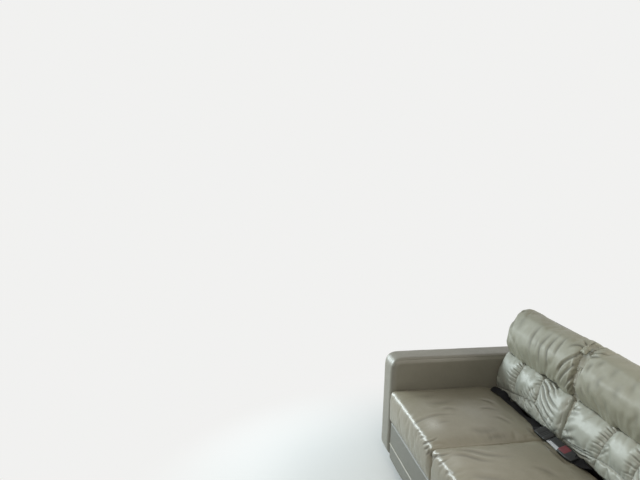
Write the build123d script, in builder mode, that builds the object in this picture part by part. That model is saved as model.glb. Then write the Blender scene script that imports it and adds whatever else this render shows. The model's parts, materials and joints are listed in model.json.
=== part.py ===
from build123d import *
from collections import namedtuple
from math import cos, radians, sin, tan
import os

# Jackknife sofa bed of a motorhome, in millimetres.
# X runs along the sofa, -Y is its front, +Z is up; "left" and "right" are as seen from the front.
# The origin is on the floor, below the middle of the whole sofa.

# Driving dimensions: upholstery
place_names = ("left", "middle", "right")
place_width = 545.0         # one seating place, seam to seam
place_gap = 3.0             # between two cushions of a row
side_gap = 6.0              # cushion end to arm
seat_depth = 565.0          # front face to the crevice
seat_height = 440.0         # floor to the top of the seat
seat_thickness = 130.0      # cushion, top to underside
roll_thickness = 45.0       # part of the seat cushion that hangs in front of the frame
roll_drop = 30.0            # how far it hangs below the cushion's underside
seat_nose_radius = 46.0
cushion_edge = 9.0          # bevel round a cushion's ends
back_recline = 15.0         # degrees from upright
back_height = 438.0         # crevice to the top, along the back
back_thickness = 115.0
bolster_height = 248.0
bolster_bulge = 34.0        # how far it stands in front of the lower cushion
bolster_gap = 2.0           # between the lower cushion and the bolster
crevice_gap = 10.0          # between seat and back cushions, measured square to both

# Driving dimensions: arms
arm_width = 130.0
arm_height = 600.0
arm_lift = 70.0             # underside above the floor
arm_depth = 700.0
arm_setback = 5.0           # behind the seat's front face
arm_nose_radius = 62.0
arm_edge_radius = 27.0
arm_toe_radius = 60.0
arm_foot_radius = 6.0

# Driving dimensions: base
base_behind_hinge = 60.0    # base's rear face behind the hinge axis
base_setback = 12.0         # behind the seat's front face
base_bottom = 75.0
base_gap = 5.0              # top of the base to the seat's frame
front_board = 22.0          # padded front panel
base_board = 18.0
rib_relief = 12.0           # ribs stop this far below the top of the ends
toe_setback = 80.0
toe_board = 12.0
toe_clearance = 3.0         # above the floor

# Driving dimensions: floor rails and their bolt holes
rail_width = 45.0
rail_wall = 4.0
rail_bolt_radius = 5.5
rail_bolt_inset = 27.0      # hole's centre from the rail's web
rail_bolt_front = 60.0      # hole's centre from the rail's front end
rail_bolt_spacing = 440.0
rail_end_gap = 20.0         # rail's rear end to the base's rear face

# Driving dimensions: steel tube and boards of the folding part
tube_size = 25.0
tube_wall = 2.0
tube_corner = 3.5
deck_board = 10.0
back_board = 8.0
rail_rear_gap = 15.0        # rear of the seat frame and deck to the hinge axis
roll_clearance = 2.0        # hanging roll to the seat frame
frame_end_gap = 12.0        # seat frame's end to the arm
back_rail_low = 10.0        # lower rail above the hinge axis, along the back
back_rail_top_gap = 28.0    # upper rail below the top of the back

# Driving dimensions: hinge
hinge_depth = 55.0          # axis below the seat's top and behind the back's front
plate_wall = 4.0
plate_eye_radius = 27.0
plate_gap = 1.0
plate_foot = 96.0           # seat plate's length along the seat frame
plate_reach = 112.0         # back plate's length up the back frame
plate_corner = 8.0
plate_crook = 12.0          # inner corners
pin_radius = 6.0
pin_seat_clearance = 0.05
pin_back_clearance = 0.08
pin_head_across = 19.0      # across the flats
pin_head = 3.0
end_relief = 3.5            # cushion ends to the pin's inner head
relief_margin = 16.0        # relief round the plates

# Driving dimensions: slides
slide_travel = 320.0
track_height = 40.0
track_width = 28.0
track_wall = 3.0
track_drop = 17.0           # top of the track below the top of the base
track_end_gap = 6.0
track_stop = 3.0            # end plates that close the track
stop_clearance = 6.0        # runner's front end to the track's stop, at full travel
runner_wall = 3.0
runner_gap = 8.5            # runner's web to the track's mouth
glide_length = 50.0
glide_clearance = 2.0

# Driving dimensions: seat belts
webbing_width = 48.0
webbing_wall = 1.6
belt_rest = 0.5             # webbing above the cushion
belt_edge_gap = 12.0        # webbing's edge to the crevice
belt_anchor_inset = 52.0    # anchor strap's middle from the arm
stalk_offset = 62.0         # buckle stalk's middle from the middle of the sofa
anchor_width = 56.0         # clamp plate that holds a strap to the seat frame
anchor_wall = 3.0
anchor_bolt_across = 13.0
anchor_bolt_head = 5.0
anchor_top = 6.0            # clamped strap's top below the top of the frame
anchor_foot = 3.0           # clamp's foot above the underside of the frame
buckle_length = 84.0
buckle_width = 52.0
buckle_height = 20.0
buckle_edge = 5.0
button_length = 30.0        # release button at the tongue's end
button_inset = 6.0          # its side to the housing's side
button_gap = 0.5
button_drop = 1.0           # its top below the housing's top
button_edge = 1.2
tongue_width = 44.0
tongue_wall = 3.0
tongue_slot_length = 28.0
tongue_slot_width = 7.0
tongue_showing = 78.0       # steel between the grip and the buckle
tongue_inside = 24.0
grip_length = 84.0
grip_height = 16.0
grip_edge = 4.0

# Values worked out from the driving dimensions
inner_half = place_width * len(place_names) / 2
arm_inner = inner_half
lean = radians(back_recline)
half_angle = radians((90 + back_recline) / 2)
crevice_run = hinge_depth / tan(half_angle)
frame_rear = back_thickness - hinge_depth + back_board + tube_size
back_top = crevice_run + back_height
frame_top = back_top - back_rail_top_gap
overall_depth = seat_depth + crevice_run + frame_rear * cos(lean) + frame_top * sin(lean)
front_y = -overall_depth / 2
crevice_y = front_y + seat_depth
pivot_y = crevice_y + crevice_run
pivot_z = seat_height - hinge_depth
seat_underside = seat_height - seat_thickness
base_front = front_y + base_setback
base_rear = pivot_y + base_behind_hinge
rib_x = place_width / 2

seat_frame_half = arm_inner - frame_end_gap
seat_plate_inner = seat_frame_half
back_plate_outer = seat_plate_inner - plate_gap
back_frame_half = back_plate_outer - plate_wall
pin_inner_end = back_frame_half - plate_gap - pin_head
relief_half = pin_inner_end - end_relief
seat_frame_top = seat_underside - deck_board
seat_frame_low = seat_frame_top - tube_size
base_top = seat_frame_low - base_gap
board_rear = back_thickness - hinge_depth + back_board

os.makedirs("parts", exist_ok=True)


def save(piece, name):
    piece.part.label = name
    export_step(piece.part, f"parts/{name}.step")


def side_plane(x):
    return Plane(origin=(x, 0, 0), x_dir=(0, 1, 0), z_dir=(1, 0, 0))


# The back's own plane at x: first axis square to the back and rearward, second axis up along it.
def back_plane(x):
    return Plane(origin=(x, pivot_y, pivot_z), x_dir=(0, cos(lean), -sin(lean)), z_dir=(1, 0, 0))


def back_point(x, rearward, along):
    return (
        x,
        pivot_y + rearward * cos(lean) + along * sin(lean),
        pivot_z - rearward * sin(lean) + along * cos(lean),
    )


def square_tube(plane, length):
    with BuildPart() as tube:
        with BuildSketch(plane):
            RectangleRounded(tube_size, tube_size, tube_corner)
            Rectangle(tube_size - 2 * tube_wall, tube_size - 2 * tube_wall, mode=Mode.SUBTRACT)
        extrude(amount=length)
    return tube


# Cushion ends of each place: the outer ones stop short of the arms.
Place = namedtuple("Place", "name low high outer_side")
places = []
for index, name in enumerate(place_names):
    low_seam = -inner_half + index * place_width
    high_seam = low_seam + place_width
    at_left = index == 0
    at_right = index == len(place_names) - 1
    places.append(Place(
        name,
        low_seam + (side_gap if at_left else place_gap / 2),
        high_seam - (side_gap if at_right else place_gap / 2),
        -1 if at_left else (1 if at_right else 0),
    ))

# Seat cushions: a rounded nose hangs in front of the frame, the rear end slopes into the crevice
half_gap = crevice_gap / 2
for place in places:
    with BuildPart() as seat_cushion:
        with BuildSketch(side_plane(place.low)) as seat_profile:
            with BuildLine():
                Polyline(
                    (front_y, seat_underside - roll_drop),
                    (front_y, seat_height),
                    (crevice_y - half_gap / sin(half_angle), seat_height),
                    (pivot_y - half_gap, pivot_z),
                    (pivot_y - half_gap, seat_underside),
                    (front_y + roll_thickness, seat_underside),
                    (front_y + roll_thickness, seat_underside - roll_drop),
                    close=True,
                )
            make_face()
            nose = seat_profile.vertices().group_by(Axis.Y)[-1].sort_by(Axis.X)
            fillet(nose[0], radius=seat_nose_radius)
            roll_foot = seat_profile.vertices().group_by(Axis.Y)[0]
            fillet(roll_foot, radius=roll_thickness / 3)
        extrude(amount=place.high - place.low)
        chamfer(seat_cushion.faces().filter_by(Axis.X).edges().group_by(Axis.Z)[-1], length=cushion_edge)
        if place.outer_side:
            relief_start = relief_half * place.outer_side
            with BuildSketch(side_plane(relief_start)):
                with Locations((pivot_y, pivot_z)):
                    Rectangle(2 * (plate_eye_radius + relief_margin), 2 * seat_thickness)
            extrude(amount=place.outer_side * arm_inner, mode=Mode.SUBTRACT)
    save(seat_cushion, f"seat_cushion_{place.name}")

# Lower back cushions, shaped to the same crevice
cushion_front = -hinge_depth
cushion_rear = back_thickness - hinge_depth
bolster_low = back_top - bolster_height
for place in places:
    with BuildPart() as back_cushion:
        with BuildSketch(back_plane(place.low)):
            with BuildLine():
                Polyline(
                    (cushion_rear, half_gap),
                    (0, half_gap),
                    (cushion_front, crevice_run + half_gap / sin(half_angle)),
                    (cushion_front, bolster_low - bolster_gap),
                    (cushion_rear, bolster_low - bolster_gap),
                    close=True,
                )
            make_face()
        extrude(amount=place.high - place.low)
        if place.outer_side:
            relief_start = relief_half * place.outer_side
            with BuildSketch(back_plane(relief_start)):
                with Locations((0, 0)):
                    Rectangle(3 * back_thickness, 2 * (plate_eye_radius + relief_margin))
                with Locations((cushion_rear, plate_reach / 2)):
                    Rectangle(2 * cushion_rear + relief_margin, plate_reach + relief_margin)
            extrude(amount=place.outer_side * arm_inner, mode=Mode.SUBTRACT)
    save(back_cushion, f"back_cushion_{place.name}")

# Bolsters: the rolled head of the back, fuller than the cushion below
for place in places:
    with BuildPart() as bolster:
        with BuildSketch(back_plane(place.low)):
            with BuildLine():
                front_low = (cushion_front, bolster_low)
                front_mid = (cushion_front - bolster_bulge, bolster_low + bolster_height * 0.45)
                front_high = (cushion_front, back_top - bolster_height * 0.2)
                crown = (cushion_front * 0.2, back_top)
                rear_high = (cushion_rear, back_top - bolster_height * 0.16)
                ThreePointArc(front_low, front_mid, front_high)
                ThreePointArc(front_high, (cushion_front * 0.72, back_top - bolster_height * 0.055), crown)
                ThreePointArc(crown, (cushion_rear * 0.62, back_top - bolster_height * 0.04), rear_high)
                Polyline(rear_high, (cushion_rear, bolster_low), front_low)
            make_face()
        extrude(amount=place.high - place.low)
    save(bolster, f"bolster_{place.name}")

# Arms: flat top, large round at the front, soft edges
arm_front = front_y + arm_setback
for side_name, side in (("left", -1), ("right", 1)):
    with BuildPart() as arm:
        with BuildSketch(side_plane(side * arm_inner)) as arm_profile:
            with BuildLine():
                Polyline(
                    (arm_front, arm_lift),
                    (arm_front, arm_height),
                    (arm_front + arm_depth, arm_height),
                    (arm_front + arm_depth, arm_lift),
                    close=True,
                )
            make_face()
            nose = arm_profile.vertices().group_by(Axis.Y)[-1].sort_by(Axis.X)[0]
            fillet(nose, radius=arm_nose_radius)
            feet = arm_profile.vertices().group_by(Axis.Y)[0].sort_by(Axis.X)
            fillet(feet[0], radius=arm_toe_radius)
            fillet(feet[-1], radius=arm_foot_radius)
        extrude(amount=side * arm_width)
        arm_edges = arm.faces().filter_by(Axis.X).edges().filter_by(
            lambda edge: edge.center().Z > arm_lift + arm_toe_radius
        )
        fillet(arm_edges, radius=arm_edge_radius)
    save(arm, f"arm_{side_name}")

# Base box: padded front, ends inside the arms, ribs and rear board
with BuildPart() as base_front_panel:
    with BuildSketch(side_plane(-arm_inner)) as panel_profile:
        with Locations((base_front + front_board / 2, (base_bottom + base_top) / 2)):
            Rectangle(front_board, base_top - base_bottom)
        fillet(panel_profile.vertices().group_by(Axis.X)[0], radius=front_board / 3)
    extrude(amount=2 * arm_inner)
save(base_front_panel, "base_front_panel")

board_start = base_front + front_board
for side_name, side in (("left", -1), ("right", 1)):
    with BuildPart() as base_end:
        with BuildSketch(side_plane(side * arm_inner)):
            with Locations(((board_start + base_rear) / 2, (base_bottom + base_top) / 2)):
                Rectangle(base_rear - board_start, base_top - base_bottom)
        extrude(amount=-side * base_board)
    save(base_end, f"base_end_{side_name}")

rib_top = base_top - rib_relief
rib_rear = base_rear - base_board
for side_name, side in (("left", -1), ("right", 1)):
    with BuildPart() as base_rib:
        with BuildSketch(side_plane(side * rib_x - base_board / 2)):
            with Locations(((board_start + rib_rear) / 2, (base_bottom + rib_top) / 2)):
                Rectangle(rib_rear - board_start, rib_top - base_bottom)
        extrude(amount=base_board)
    save(base_rib, f"base_rib_{side_name}")

with BuildPart() as base_rear_board:
    with BuildSketch(Plane.XZ.offset(-base_rear)):
        with Locations((0, (base_bottom + base_top) / 2)):
            Rectangle(2 * (arm_inner - base_board), base_top - base_bottom)
    extrude(amount=base_board)
save(base_rear_board, "base_rear_board")

toe_front = front_y + toe_setback
with BuildPart() as toe_kick_board:
    with BuildSketch(Plane.XZ.offset(-toe_front - toe_board)):
        with Locations((0, (toe_clearance + base_bottom) / 2)):
            Rectangle(2 * arm_inner, base_bottom - toe_clearance)
    extrude(amount=toe_board)
save(toe_kick_board, "toe_kick_board")

# Floor rails: channels below the ends and ribs, their mouths towards the middle
rail_front = toe_front + toe_board
rail_rear = base_rear - rail_end_gap
Rail = namedtuple("Rail", "name web_x inward")
rails = (
    Rail("outer_left", -arm_inner, 1),
    Rail("inner_left", -rib_x - rail_width / 2, 1),
    Rail("inner_right", rib_x + rail_width / 2, -1),
    Rail("outer_right", arm_inner, -1),
)
for rail in rails:
    with BuildPart() as floor_rail:
        with BuildSketch(Plane.XZ.offset(-rail_front)):
            with Locations((rail.web_x + rail.inward * rail_width / 2, base_bottom / 2)):
                Rectangle(rail_width, base_bottom)
            with Locations((rail.web_x + rail.inward * (rail_width / 2 + rail_wall), base_bottom / 2)):
                Rectangle(rail_width, base_bottom - 2 * rail_wall, mode=Mode.SUBTRACT)
        extrude(amount=-(rail_rear - rail_front))
        with BuildSketch(Plane.XY):
            hole_x = rail.web_x + rail.inward * rail_bolt_inset
            first_hole = rail_front + rail_bolt_front
            with Locations((hole_x, first_hole), (hole_x, first_hole + rail_bolt_spacing)):
                Circle(rail_bolt_radius)
        extrude(amount=rail_wall, mode=Mode.SUBTRACT)
    save(floor_rail, f"floor_rail_{rail.name}")

# Slide tracks on the base ends, and the runners that hang from the seat frame into them
track_top = base_top - track_drop
track_mid = track_top - track_height / 2
track_face = arm_inner - base_board
track_mouth = track_face - track_width
glide_height = track_height - 2 * track_wall - 2 * glide_clearance
runner_web = track_mouth - runner_gap
runner_rear = pivot_y
runner_front = board_start + track_end_gap + track_stop + stop_clearance + slide_travel
runner_length = runner_rear - runner_front
for side_name, side in (("left", -1), ("right", 1)):
    with BuildPart() as slide_track:
        with BuildSketch(Plane.XZ.offset(-board_start - track_end_gap)):
            with Locations((side * (track_face - track_width / 2), track_mid)):
                Rectangle(track_width, track_height)
            with Locations((side * (track_face - track_width / 2 - track_wall), track_mid)):
                Rectangle(track_width, track_height - 2 * track_wall, mode=Mode.SUBTRACT)
        track_length = rib_rear - board_start - 2 * track_end_gap
        extrude(amount=-track_length)
        with BuildSketch(Plane.XY.offset(track_mid - track_height / 2)):
            stop_x = side * (track_face - track_width / 2)
            first_stop = board_start + track_end_gap + track_stop / 2
            with Locations((stop_x, first_stop), (stop_x, first_stop + track_length - track_stop)):
                Rectangle(track_width, track_stop)
        extrude(amount=track_height)
    save(slide_track, f"slide_track_{side_name}")

    with BuildPart() as seat_runner:
        flange_width = seat_frame_half - runner_web
        with BuildSketch(Plane.XZ.offset(-runner_rear)):
            with Locations((side * (runner_web + flange_width / 2), seat_frame_low - runner_wall / 2)):
                Rectangle(flange_width, runner_wall)
            web_foot = track_mid - glide_height / 2
            with Locations((side * (runner_web + runner_wall / 2), (web_foot + seat_frame_low) / 2)):
                Rectangle(runner_wall, seat_frame_low - web_foot)
        extrude(amount=runner_length)
        glide_width = track_face - track_wall - glide_clearance - runner_web
        first_glide = runner_rear - glide_length / 2
        last_glide = runner_rear - runner_length + glide_length / 2
        with BuildSketch(Plane.XY.offset(web_foot)):
            glide_x = side * (runner_web + glide_width / 2)
            with Locations((glide_x, first_glide), (glide_x, last_glide)):
                RectangleRounded(glide_width, glide_length, glide_width / 5)
        extrude(amount=glide_height)
    save(seat_runner, f"seat_runner_{side_name}")

# Seat frame: two long rails and four cross tubes, under a plywood deck
seat_tube_z = seat_frame_top - tube_size / 2
seat_rail_front = front_y + roll_thickness + roll_clearance + tube_size / 2
seat_rail_rear = pivot_y - rail_rear_gap - tube_size / 2
for rail_name, rail_y in (("front", seat_rail_front), ("rear", seat_rail_rear)):
    start = Plane(origin=(-seat_frame_half, rail_y, seat_tube_z), x_dir=(0, 1, 0), z_dir=(1, 0, 0))
    save(square_tube(start, 2 * seat_frame_half), f"seat_frame_rail_{rail_name}")

Cross = namedtuple("Cross", "name side share")
crosses = (
    Cross("outer_left", -1, "end"),
    Cross("inner_left", -1, "rib"),
    Cross("inner_right", 1, "rib"),
    Cross("outer_right", 1, "end"),
)
cross_length = seat_rail_rear - seat_rail_front - tube_size
for cross in crosses:
    cross_x = cross.side * (rib_x if cross.share == "rib" else seat_frame_half - tube_size / 2)
    start = Plane(
        origin=(cross_x, seat_rail_front + tube_size / 2, seat_tube_z), x_dir=(1, 0, 0), z_dir=(0, 1, 0)
    )
    save(square_tube(start, cross_length), f"seat_frame_cross_{cross.name}")

deck_front = seat_rail_front - tube_size / 2
deck_rear = pivot_y - rail_rear_gap
with BuildPart() as seat_deck:
    with BuildSketch(Plane.XY.offset(seat_frame_top)):
        with Locations((0, (deck_front + deck_rear) / 2)):
            Rectangle(2 * relief_half, deck_rear - deck_front)
    extrude(amount=deck_board)
save(seat_deck, "seat_deck")

# Back frame: two rails and four stiles behind a plywood board
back_tube = board_rear + tube_size / 2
low_rail = back_rail_low + tube_size / 2
high_rail = frame_top - tube_size / 2
for rail_name, along in (("lower", low_rail), ("upper", high_rail)):
    start = Plane(
        origin=back_point(-back_frame_half, back_tube, along),
        x_dir=(0, cos(lean), -sin(lean)),
        z_dir=(1, 0, 0),
    )
    save(square_tube(start, 2 * back_frame_half), f"back_frame_rail_{rail_name}")

stile_length = high_rail - low_rail - tube_size
for cross in crosses:
    stile_x = cross.side * (rib_x if cross.share == "rib" else back_frame_half - tube_size / 2)
    start = Plane(
        origin=back_point(stile_x, back_tube, low_rail + tube_size / 2),
        x_dir=(1, 0, 0),
        z_dir=(0, sin(lean), cos(lean)),
    )
    save(square_tube(start, stile_length), f"back_frame_stile_{cross.name}")

with BuildPart() as back_panel:
    with BuildSketch(back_plane(-relief_half)):
        with Locations((cushion_rear + back_board / 2, (back_rail_low + frame_top) / 2)):
            Rectangle(back_board, frame_top - back_rail_low)
    extrude(amount=2 * relief_half)
save(back_panel, "back_panel")

# Hinge plates: the seat's plate stands on its frame, the back's plate sits inside it
for side_name, side in (("left", -1), ("right", 1)):
    with BuildPart() as seat_plate:
        with BuildSketch(side_plane(side * seat_plate_inner)) as seat_plate_outline:
            eye_drop = pivot_z - seat_frame_low
            with Locations((pivot_y - plate_eye_radius / 2, pivot_z - eye_drop / 2)):
                Rectangle(plate_eye_radius, eye_drop)
            with Locations((pivot_y - plate_foot / 2, seat_tube_z)):
                Rectangle(plate_foot, tube_size)
            crook = seat_plate_outline.vertices().sort_by(Axis.X)[2:4].sort_by(Axis.Y)[0]
            fillet(crook, radius=plate_crook)
            fillet(seat_plate_outline.vertices().group_by(Axis.X)[0], radius=plate_corner)
            with Locations((pivot_y, pivot_z)):
                Circle(plate_eye_radius)
                Circle(pin_radius + pin_seat_clearance, mode=Mode.SUBTRACT)
        extrude(amount=side * plate_wall)
    save(seat_plate, f"hinge_plate_seat_{side_name}")

    with BuildPart() as back_plate:
        with BuildSketch(back_plane(side * back_plate_outer)) as back_plate_outline:
            neck_low = back_rail_low - plate_eye_radius
            leg_inner = back_tube - tube_size / 2
            with Locations((leg_inner / 2, (neck_low + plate_eye_radius) / 2)):
                Rectangle(leg_inner, plate_eye_radius - neck_low)
            with Locations((back_tube, (back_rail_low + plate_reach) / 2)):
                Rectangle(tube_size, plate_reach - back_rail_low)
            leg_corners = back_plate_outline.vertices().group_by(Axis.X)[-1]
            leg_top = back_plate_outline.vertices().group_by(Axis.Y)[-1].sort_by(Axis.X)[0]
            fillet([*leg_corners, leg_top], radius=plate_corner)
            neck_corners = back_plate_outline.vertices().filter_by_position(
                Axis.Y, neck_low, plate_eye_radius
            ).filter_by_position(Axis.X, leg_inner / 2, leg_inner)
            neck_foot = neck_corners.sort_by(Axis.Y)[0]
            neck_crook = neck_corners.sort_by(Axis.Y)[-1]
            fillet([neck_foot, neck_crook], radius=plate_crook)
            with Locations((0, 0)):
                Circle(plate_eye_radius)
                Circle(pin_radius + pin_back_clearance, mode=Mode.SUBTRACT)
        extrude(amount=-side * plate_wall)
    save(back_plate, f"hinge_plate_back_{side_name}")

    with BuildPart() as hinge_pin:
        pin_outer_end = seat_plate_inner + plate_wall + pin_head
        with BuildSketch(side_plane(side * pin_inner_end)):
            with Locations((pivot_y, pivot_z)):
                Circle(pin_radius)
        extrude(amount=side * (pin_outer_end - pin_inner_end))
        for head_start in (pin_inner_end, pin_outer_end - pin_head):
            with BuildSketch(side_plane(side * head_start)):
                with Locations((pivot_y, pivot_z)):
                    RegularPolygon(pin_head_across / 2, 6, major_radius=False)
            extrude(amount=side * pin_head)
    save(hinge_pin, f"hinge_pin_{side_name}")

# Lap belts: the straps rise in the crevice from the seat frame and turn flat; tongue and buckle lie joined
belt_low = seat_height + belt_rest
belt_rear = crevice_y - belt_edge_gap
belt_front = belt_rear - webbing_width
belt_middle = (belt_front + belt_rear) / 2
strap_y = pivot_y - half_gap + belt_rest
rail_face = pivot_y - rail_rear_gap
strap_shelf = (crevice_y - half_gap / sin(half_angle) + belt_rest, belt_low)
strap_corner = (strap_y, pivot_z)
strap_knee = (strap_y, seat_underside)
strap_ankle = (rail_face, seat_frame_top - anchor_top)
strap_foot = (rail_face, seat_frame_low + anchor_foot)
tongue_level = belt_low + buckle_height / 2
button_low = tongue_level + tongue_wall
button_width = buckle_width - 2 * button_inset
anchor_from_middle = arm_inner - belt_anchor_inset
buckle_near = stalk_offset + webbing_width / 2
buckle_far = buckle_near + buckle_length
grip_near = buckle_far + tongue_showing
grip_far = grip_near + grip_length
run_far = anchor_from_middle + webbing_width / 2
turn_near = stalk_offset - webbing_width / 2
for side_name, side in (("left", -1), ("right", 1)):
    with BuildPart() as webbing:
        for strap_x in (side * anchor_from_middle, side * stalk_offset):
            with BuildSketch(side_plane(strap_x - webbing_width / 2)):
                with BuildLine():
                    Polyline(
                        (belt_front, belt_low),
                        strap_shelf,
                        strap_corner,
                        strap_knee,
                        strap_ankle,
                        strap_foot,
                        (strap_foot[0] + webbing_wall, strap_foot[1]),
                        (strap_ankle[0] + webbing_wall, strap_ankle[1] - webbing_wall),
                        (strap_knee[0] + webbing_wall, strap_knee[1] - webbing_wall),
                        (strap_corner[0] + webbing_wall, strap_corner[1] + webbing_wall / 2),
                        (strap_shelf[0] + webbing_wall, strap_shelf[1] + webbing_wall),
                        (belt_front, belt_low + webbing_wall),
                        close=True,
                    )
                make_face()
            extrude(amount=webbing_width)
        with BuildSketch(Plane.XY.offset(belt_low + webbing_wall)):
            with Locations((side * (grip_far + run_far) / 2, belt_middle)):
                Rectangle(run_far - grip_far, webbing_width)
            with Locations((side * (turn_near + buckle_near) / 2, belt_middle)):
                Rectangle(buckle_near - turn_near, webbing_width)
        extrude(amount=webbing_wall)
    save(webbing, f"belt_webbing_{side_name}")

    with BuildPart() as tongue:
        with BuildSketch(Plane.XY.offset(tongue_level - tongue_wall / 2)):
            blade_near = buckle_far - tongue_inside
            blade_far = grip_far - grip_length / 2
            with Locations((side * (blade_near + blade_far) / 2, belt_middle)):
                Rectangle(blade_far - blade_near, tongue_width)
            with Locations((side * (grip_near - tongue_slot_width), belt_middle)):
                Rectangle(tongue_slot_width, tongue_slot_length, mode=Mode.SUBTRACT)
        extrude(amount=tongue_wall)
        with BuildSketch(Plane.YZ.offset(side * grip_far)) as grip_section:
            with Locations((belt_middle, tongue_level)):
                Rectangle(webbing_width + 2 * grip_edge, grip_height)
            chamfer(grip_section.vertices(), length=grip_edge)
        extrude(amount=-side * grip_length)
    save(tongue, f"belt_tongue_{side_name}")

    with BuildPart() as buckle:
        with BuildSketch(Plane.YZ.offset(side * buckle_far)) as buckle_section:
            with Locations((belt_middle, tongue_level)):
                Rectangle(buckle_width, buckle_height)
            chamfer(buckle_section.vertices(), length=buckle_edge)
        extrude(amount=-side * buckle_length)
        buckle_end = buckle.faces().sort_by(Axis.X)[0 if side > 0 else -1]
        chamfer(buckle_end.edges().filter_by(Axis.Z), length=2 * buckle_edge)
        with BuildSketch(Plane.YZ.offset(side * buckle_far)):
            with Locations((belt_middle, tongue_level)):
                Rectangle(tongue_width + tongue_wall, 2 * tongue_wall)
        extrude(amount=-side * (tongue_inside + tongue_wall), mode=Mode.SUBTRACT)
        with BuildSketch(Plane.XY.offset(button_low)):
            with Locations((side * (buckle_far - button_length / 2), belt_middle)):
                Rectangle(button_length, button_width)
        extrude(amount=buckle_height, mode=Mode.SUBTRACT)
    save(buckle, f"belt_buckle_{side_name}")

    with BuildPart() as button:
        with BuildSketch(Plane.XY.offset(button_low)):
            with Locations((side * (buckle_far - button_length / 2), belt_middle)):
                Rectangle(button_length - 2 * button_gap, button_width - 2 * button_gap)
        extrude(amount=buckle_height / 2 - tongue_wall - button_drop)
        chamfer(button.edges().group_by(Axis.Z)[-1], length=button_edge)
    save(button, f"belt_button_{side_name}")

# Clamp plates that hold the straps to the seat frame, each with its bolt's head
clamp_face = rail_face + webbing_wall
clamp_height = strap_ankle[1] - webbing_wall - strap_foot[1]
clamp_middle = strap_foot[1] + clamp_height / 2
clamp_places = [
    (side * from_middle, clamp_middle) for side in (-1, 1) for from_middle in (anchor_from_middle, stalk_offset)
]
with BuildPart() as belt_anchors:
    with BuildSketch(Plane.XZ.offset(-clamp_face)):
        with Locations(*clamp_places):
            Rectangle(anchor_width, clamp_height)
    extrude(amount=-anchor_wall)
    with BuildSketch(Plane.XZ.offset(-clamp_face - anchor_wall)):
        with Locations(*clamp_places):
            RegularPolygon(anchor_bolt_across / 2, 6, major_radius=False)
    extrude(amount=-anchor_bolt_head)
save(belt_anchors, "belt_anchors")

print("hinge axis y, z:", round(pivot_y, 2), round(pivot_z, 2))
print("overall depth:", round(overall_depth, 2), "front y:", round(front_y, 2))
print("rail holes x:", round(arm_inner - rail_bolt_inset, 2), round(rib_x + rail_width / 2 - rail_bolt_inset, 2))
print("rail holes y:", round(rail_front + rail_bolt_front, 2))
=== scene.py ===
import json
import math
import random

import bpy
import numpy as np
from mathutils import Matrix, Vector
from mathutils.bvhtree import BVHTree
from mathutils.kdtree import KDTree

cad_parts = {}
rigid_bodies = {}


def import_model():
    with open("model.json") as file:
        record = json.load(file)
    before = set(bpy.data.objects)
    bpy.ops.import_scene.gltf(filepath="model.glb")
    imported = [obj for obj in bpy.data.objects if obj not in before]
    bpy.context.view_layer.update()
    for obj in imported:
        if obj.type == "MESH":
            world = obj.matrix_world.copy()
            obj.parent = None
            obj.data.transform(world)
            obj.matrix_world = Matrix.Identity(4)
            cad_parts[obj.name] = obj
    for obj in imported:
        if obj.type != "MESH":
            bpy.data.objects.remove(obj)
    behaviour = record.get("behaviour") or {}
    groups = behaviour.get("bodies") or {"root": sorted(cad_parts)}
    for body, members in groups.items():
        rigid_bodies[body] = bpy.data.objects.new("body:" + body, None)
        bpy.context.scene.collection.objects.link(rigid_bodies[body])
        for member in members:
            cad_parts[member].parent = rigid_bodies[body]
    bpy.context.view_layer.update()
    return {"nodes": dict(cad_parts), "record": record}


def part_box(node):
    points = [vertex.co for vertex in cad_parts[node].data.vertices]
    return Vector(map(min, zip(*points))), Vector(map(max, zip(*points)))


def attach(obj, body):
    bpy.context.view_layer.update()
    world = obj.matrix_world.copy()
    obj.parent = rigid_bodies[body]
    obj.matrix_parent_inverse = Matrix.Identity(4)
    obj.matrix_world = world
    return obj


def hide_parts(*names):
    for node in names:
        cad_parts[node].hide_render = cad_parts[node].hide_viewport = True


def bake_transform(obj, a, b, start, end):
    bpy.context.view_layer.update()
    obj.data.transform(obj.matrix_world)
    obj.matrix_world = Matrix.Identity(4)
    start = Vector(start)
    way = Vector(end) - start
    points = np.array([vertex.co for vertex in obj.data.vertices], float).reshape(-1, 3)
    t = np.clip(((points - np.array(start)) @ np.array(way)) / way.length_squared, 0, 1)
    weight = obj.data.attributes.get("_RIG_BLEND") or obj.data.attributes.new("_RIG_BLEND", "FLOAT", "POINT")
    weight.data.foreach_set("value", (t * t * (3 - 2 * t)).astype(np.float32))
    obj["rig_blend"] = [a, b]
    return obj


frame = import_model()

# Lengths are in metres, in the model's own frame: -Y is the sofa's front, +Z is up.
places = ("left", "middle", "right")
sides = {"left": -1, "right": 1}
hinge = next(joint for joint in frame["record"]["behaviour"]["joints"] if joint["name"] == "back_fold")
pivotY, pivotZ = hinge["pos_m"][1], hinge["pos_m"][2]
recline = math.radians(15)


def backPoint(x, rearward, along):  # the back's own axes: square to it, and up along it
    c, s = math.cos(recline), math.sin(recline)
    return np.stack([
        x + 0 * rearward,
        pivotY + rearward * c + along * s,
        pivotZ - rearward * s + along * c,
    ], axis=-1)


# Node groups: each puts out colours, values and heights only

def newGroup(name, inputs):  # inputs: the default of each, a colour when it is a tuple
    group = bpy.data.node_groups.new(name, "ShaderNodeTree")
    for label, default in inputs.items():
        kind = "NodeSocketColor" if isinstance(default, tuple) else "NodeSocketFloat"
        group.interface.new_socket(label, in_out="INPUT", socket_type=kind).default_value = default
    for label, kind in (("Colour", "Color"), ("Roughness", "Float"), ("Height", "Float")):
        group.interface.new_socket(label, in_out="OUTPUT", socket_type="NodeSocket" + kind)
    return group, group.nodes.new("NodeGroupInput").outputs


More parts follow.
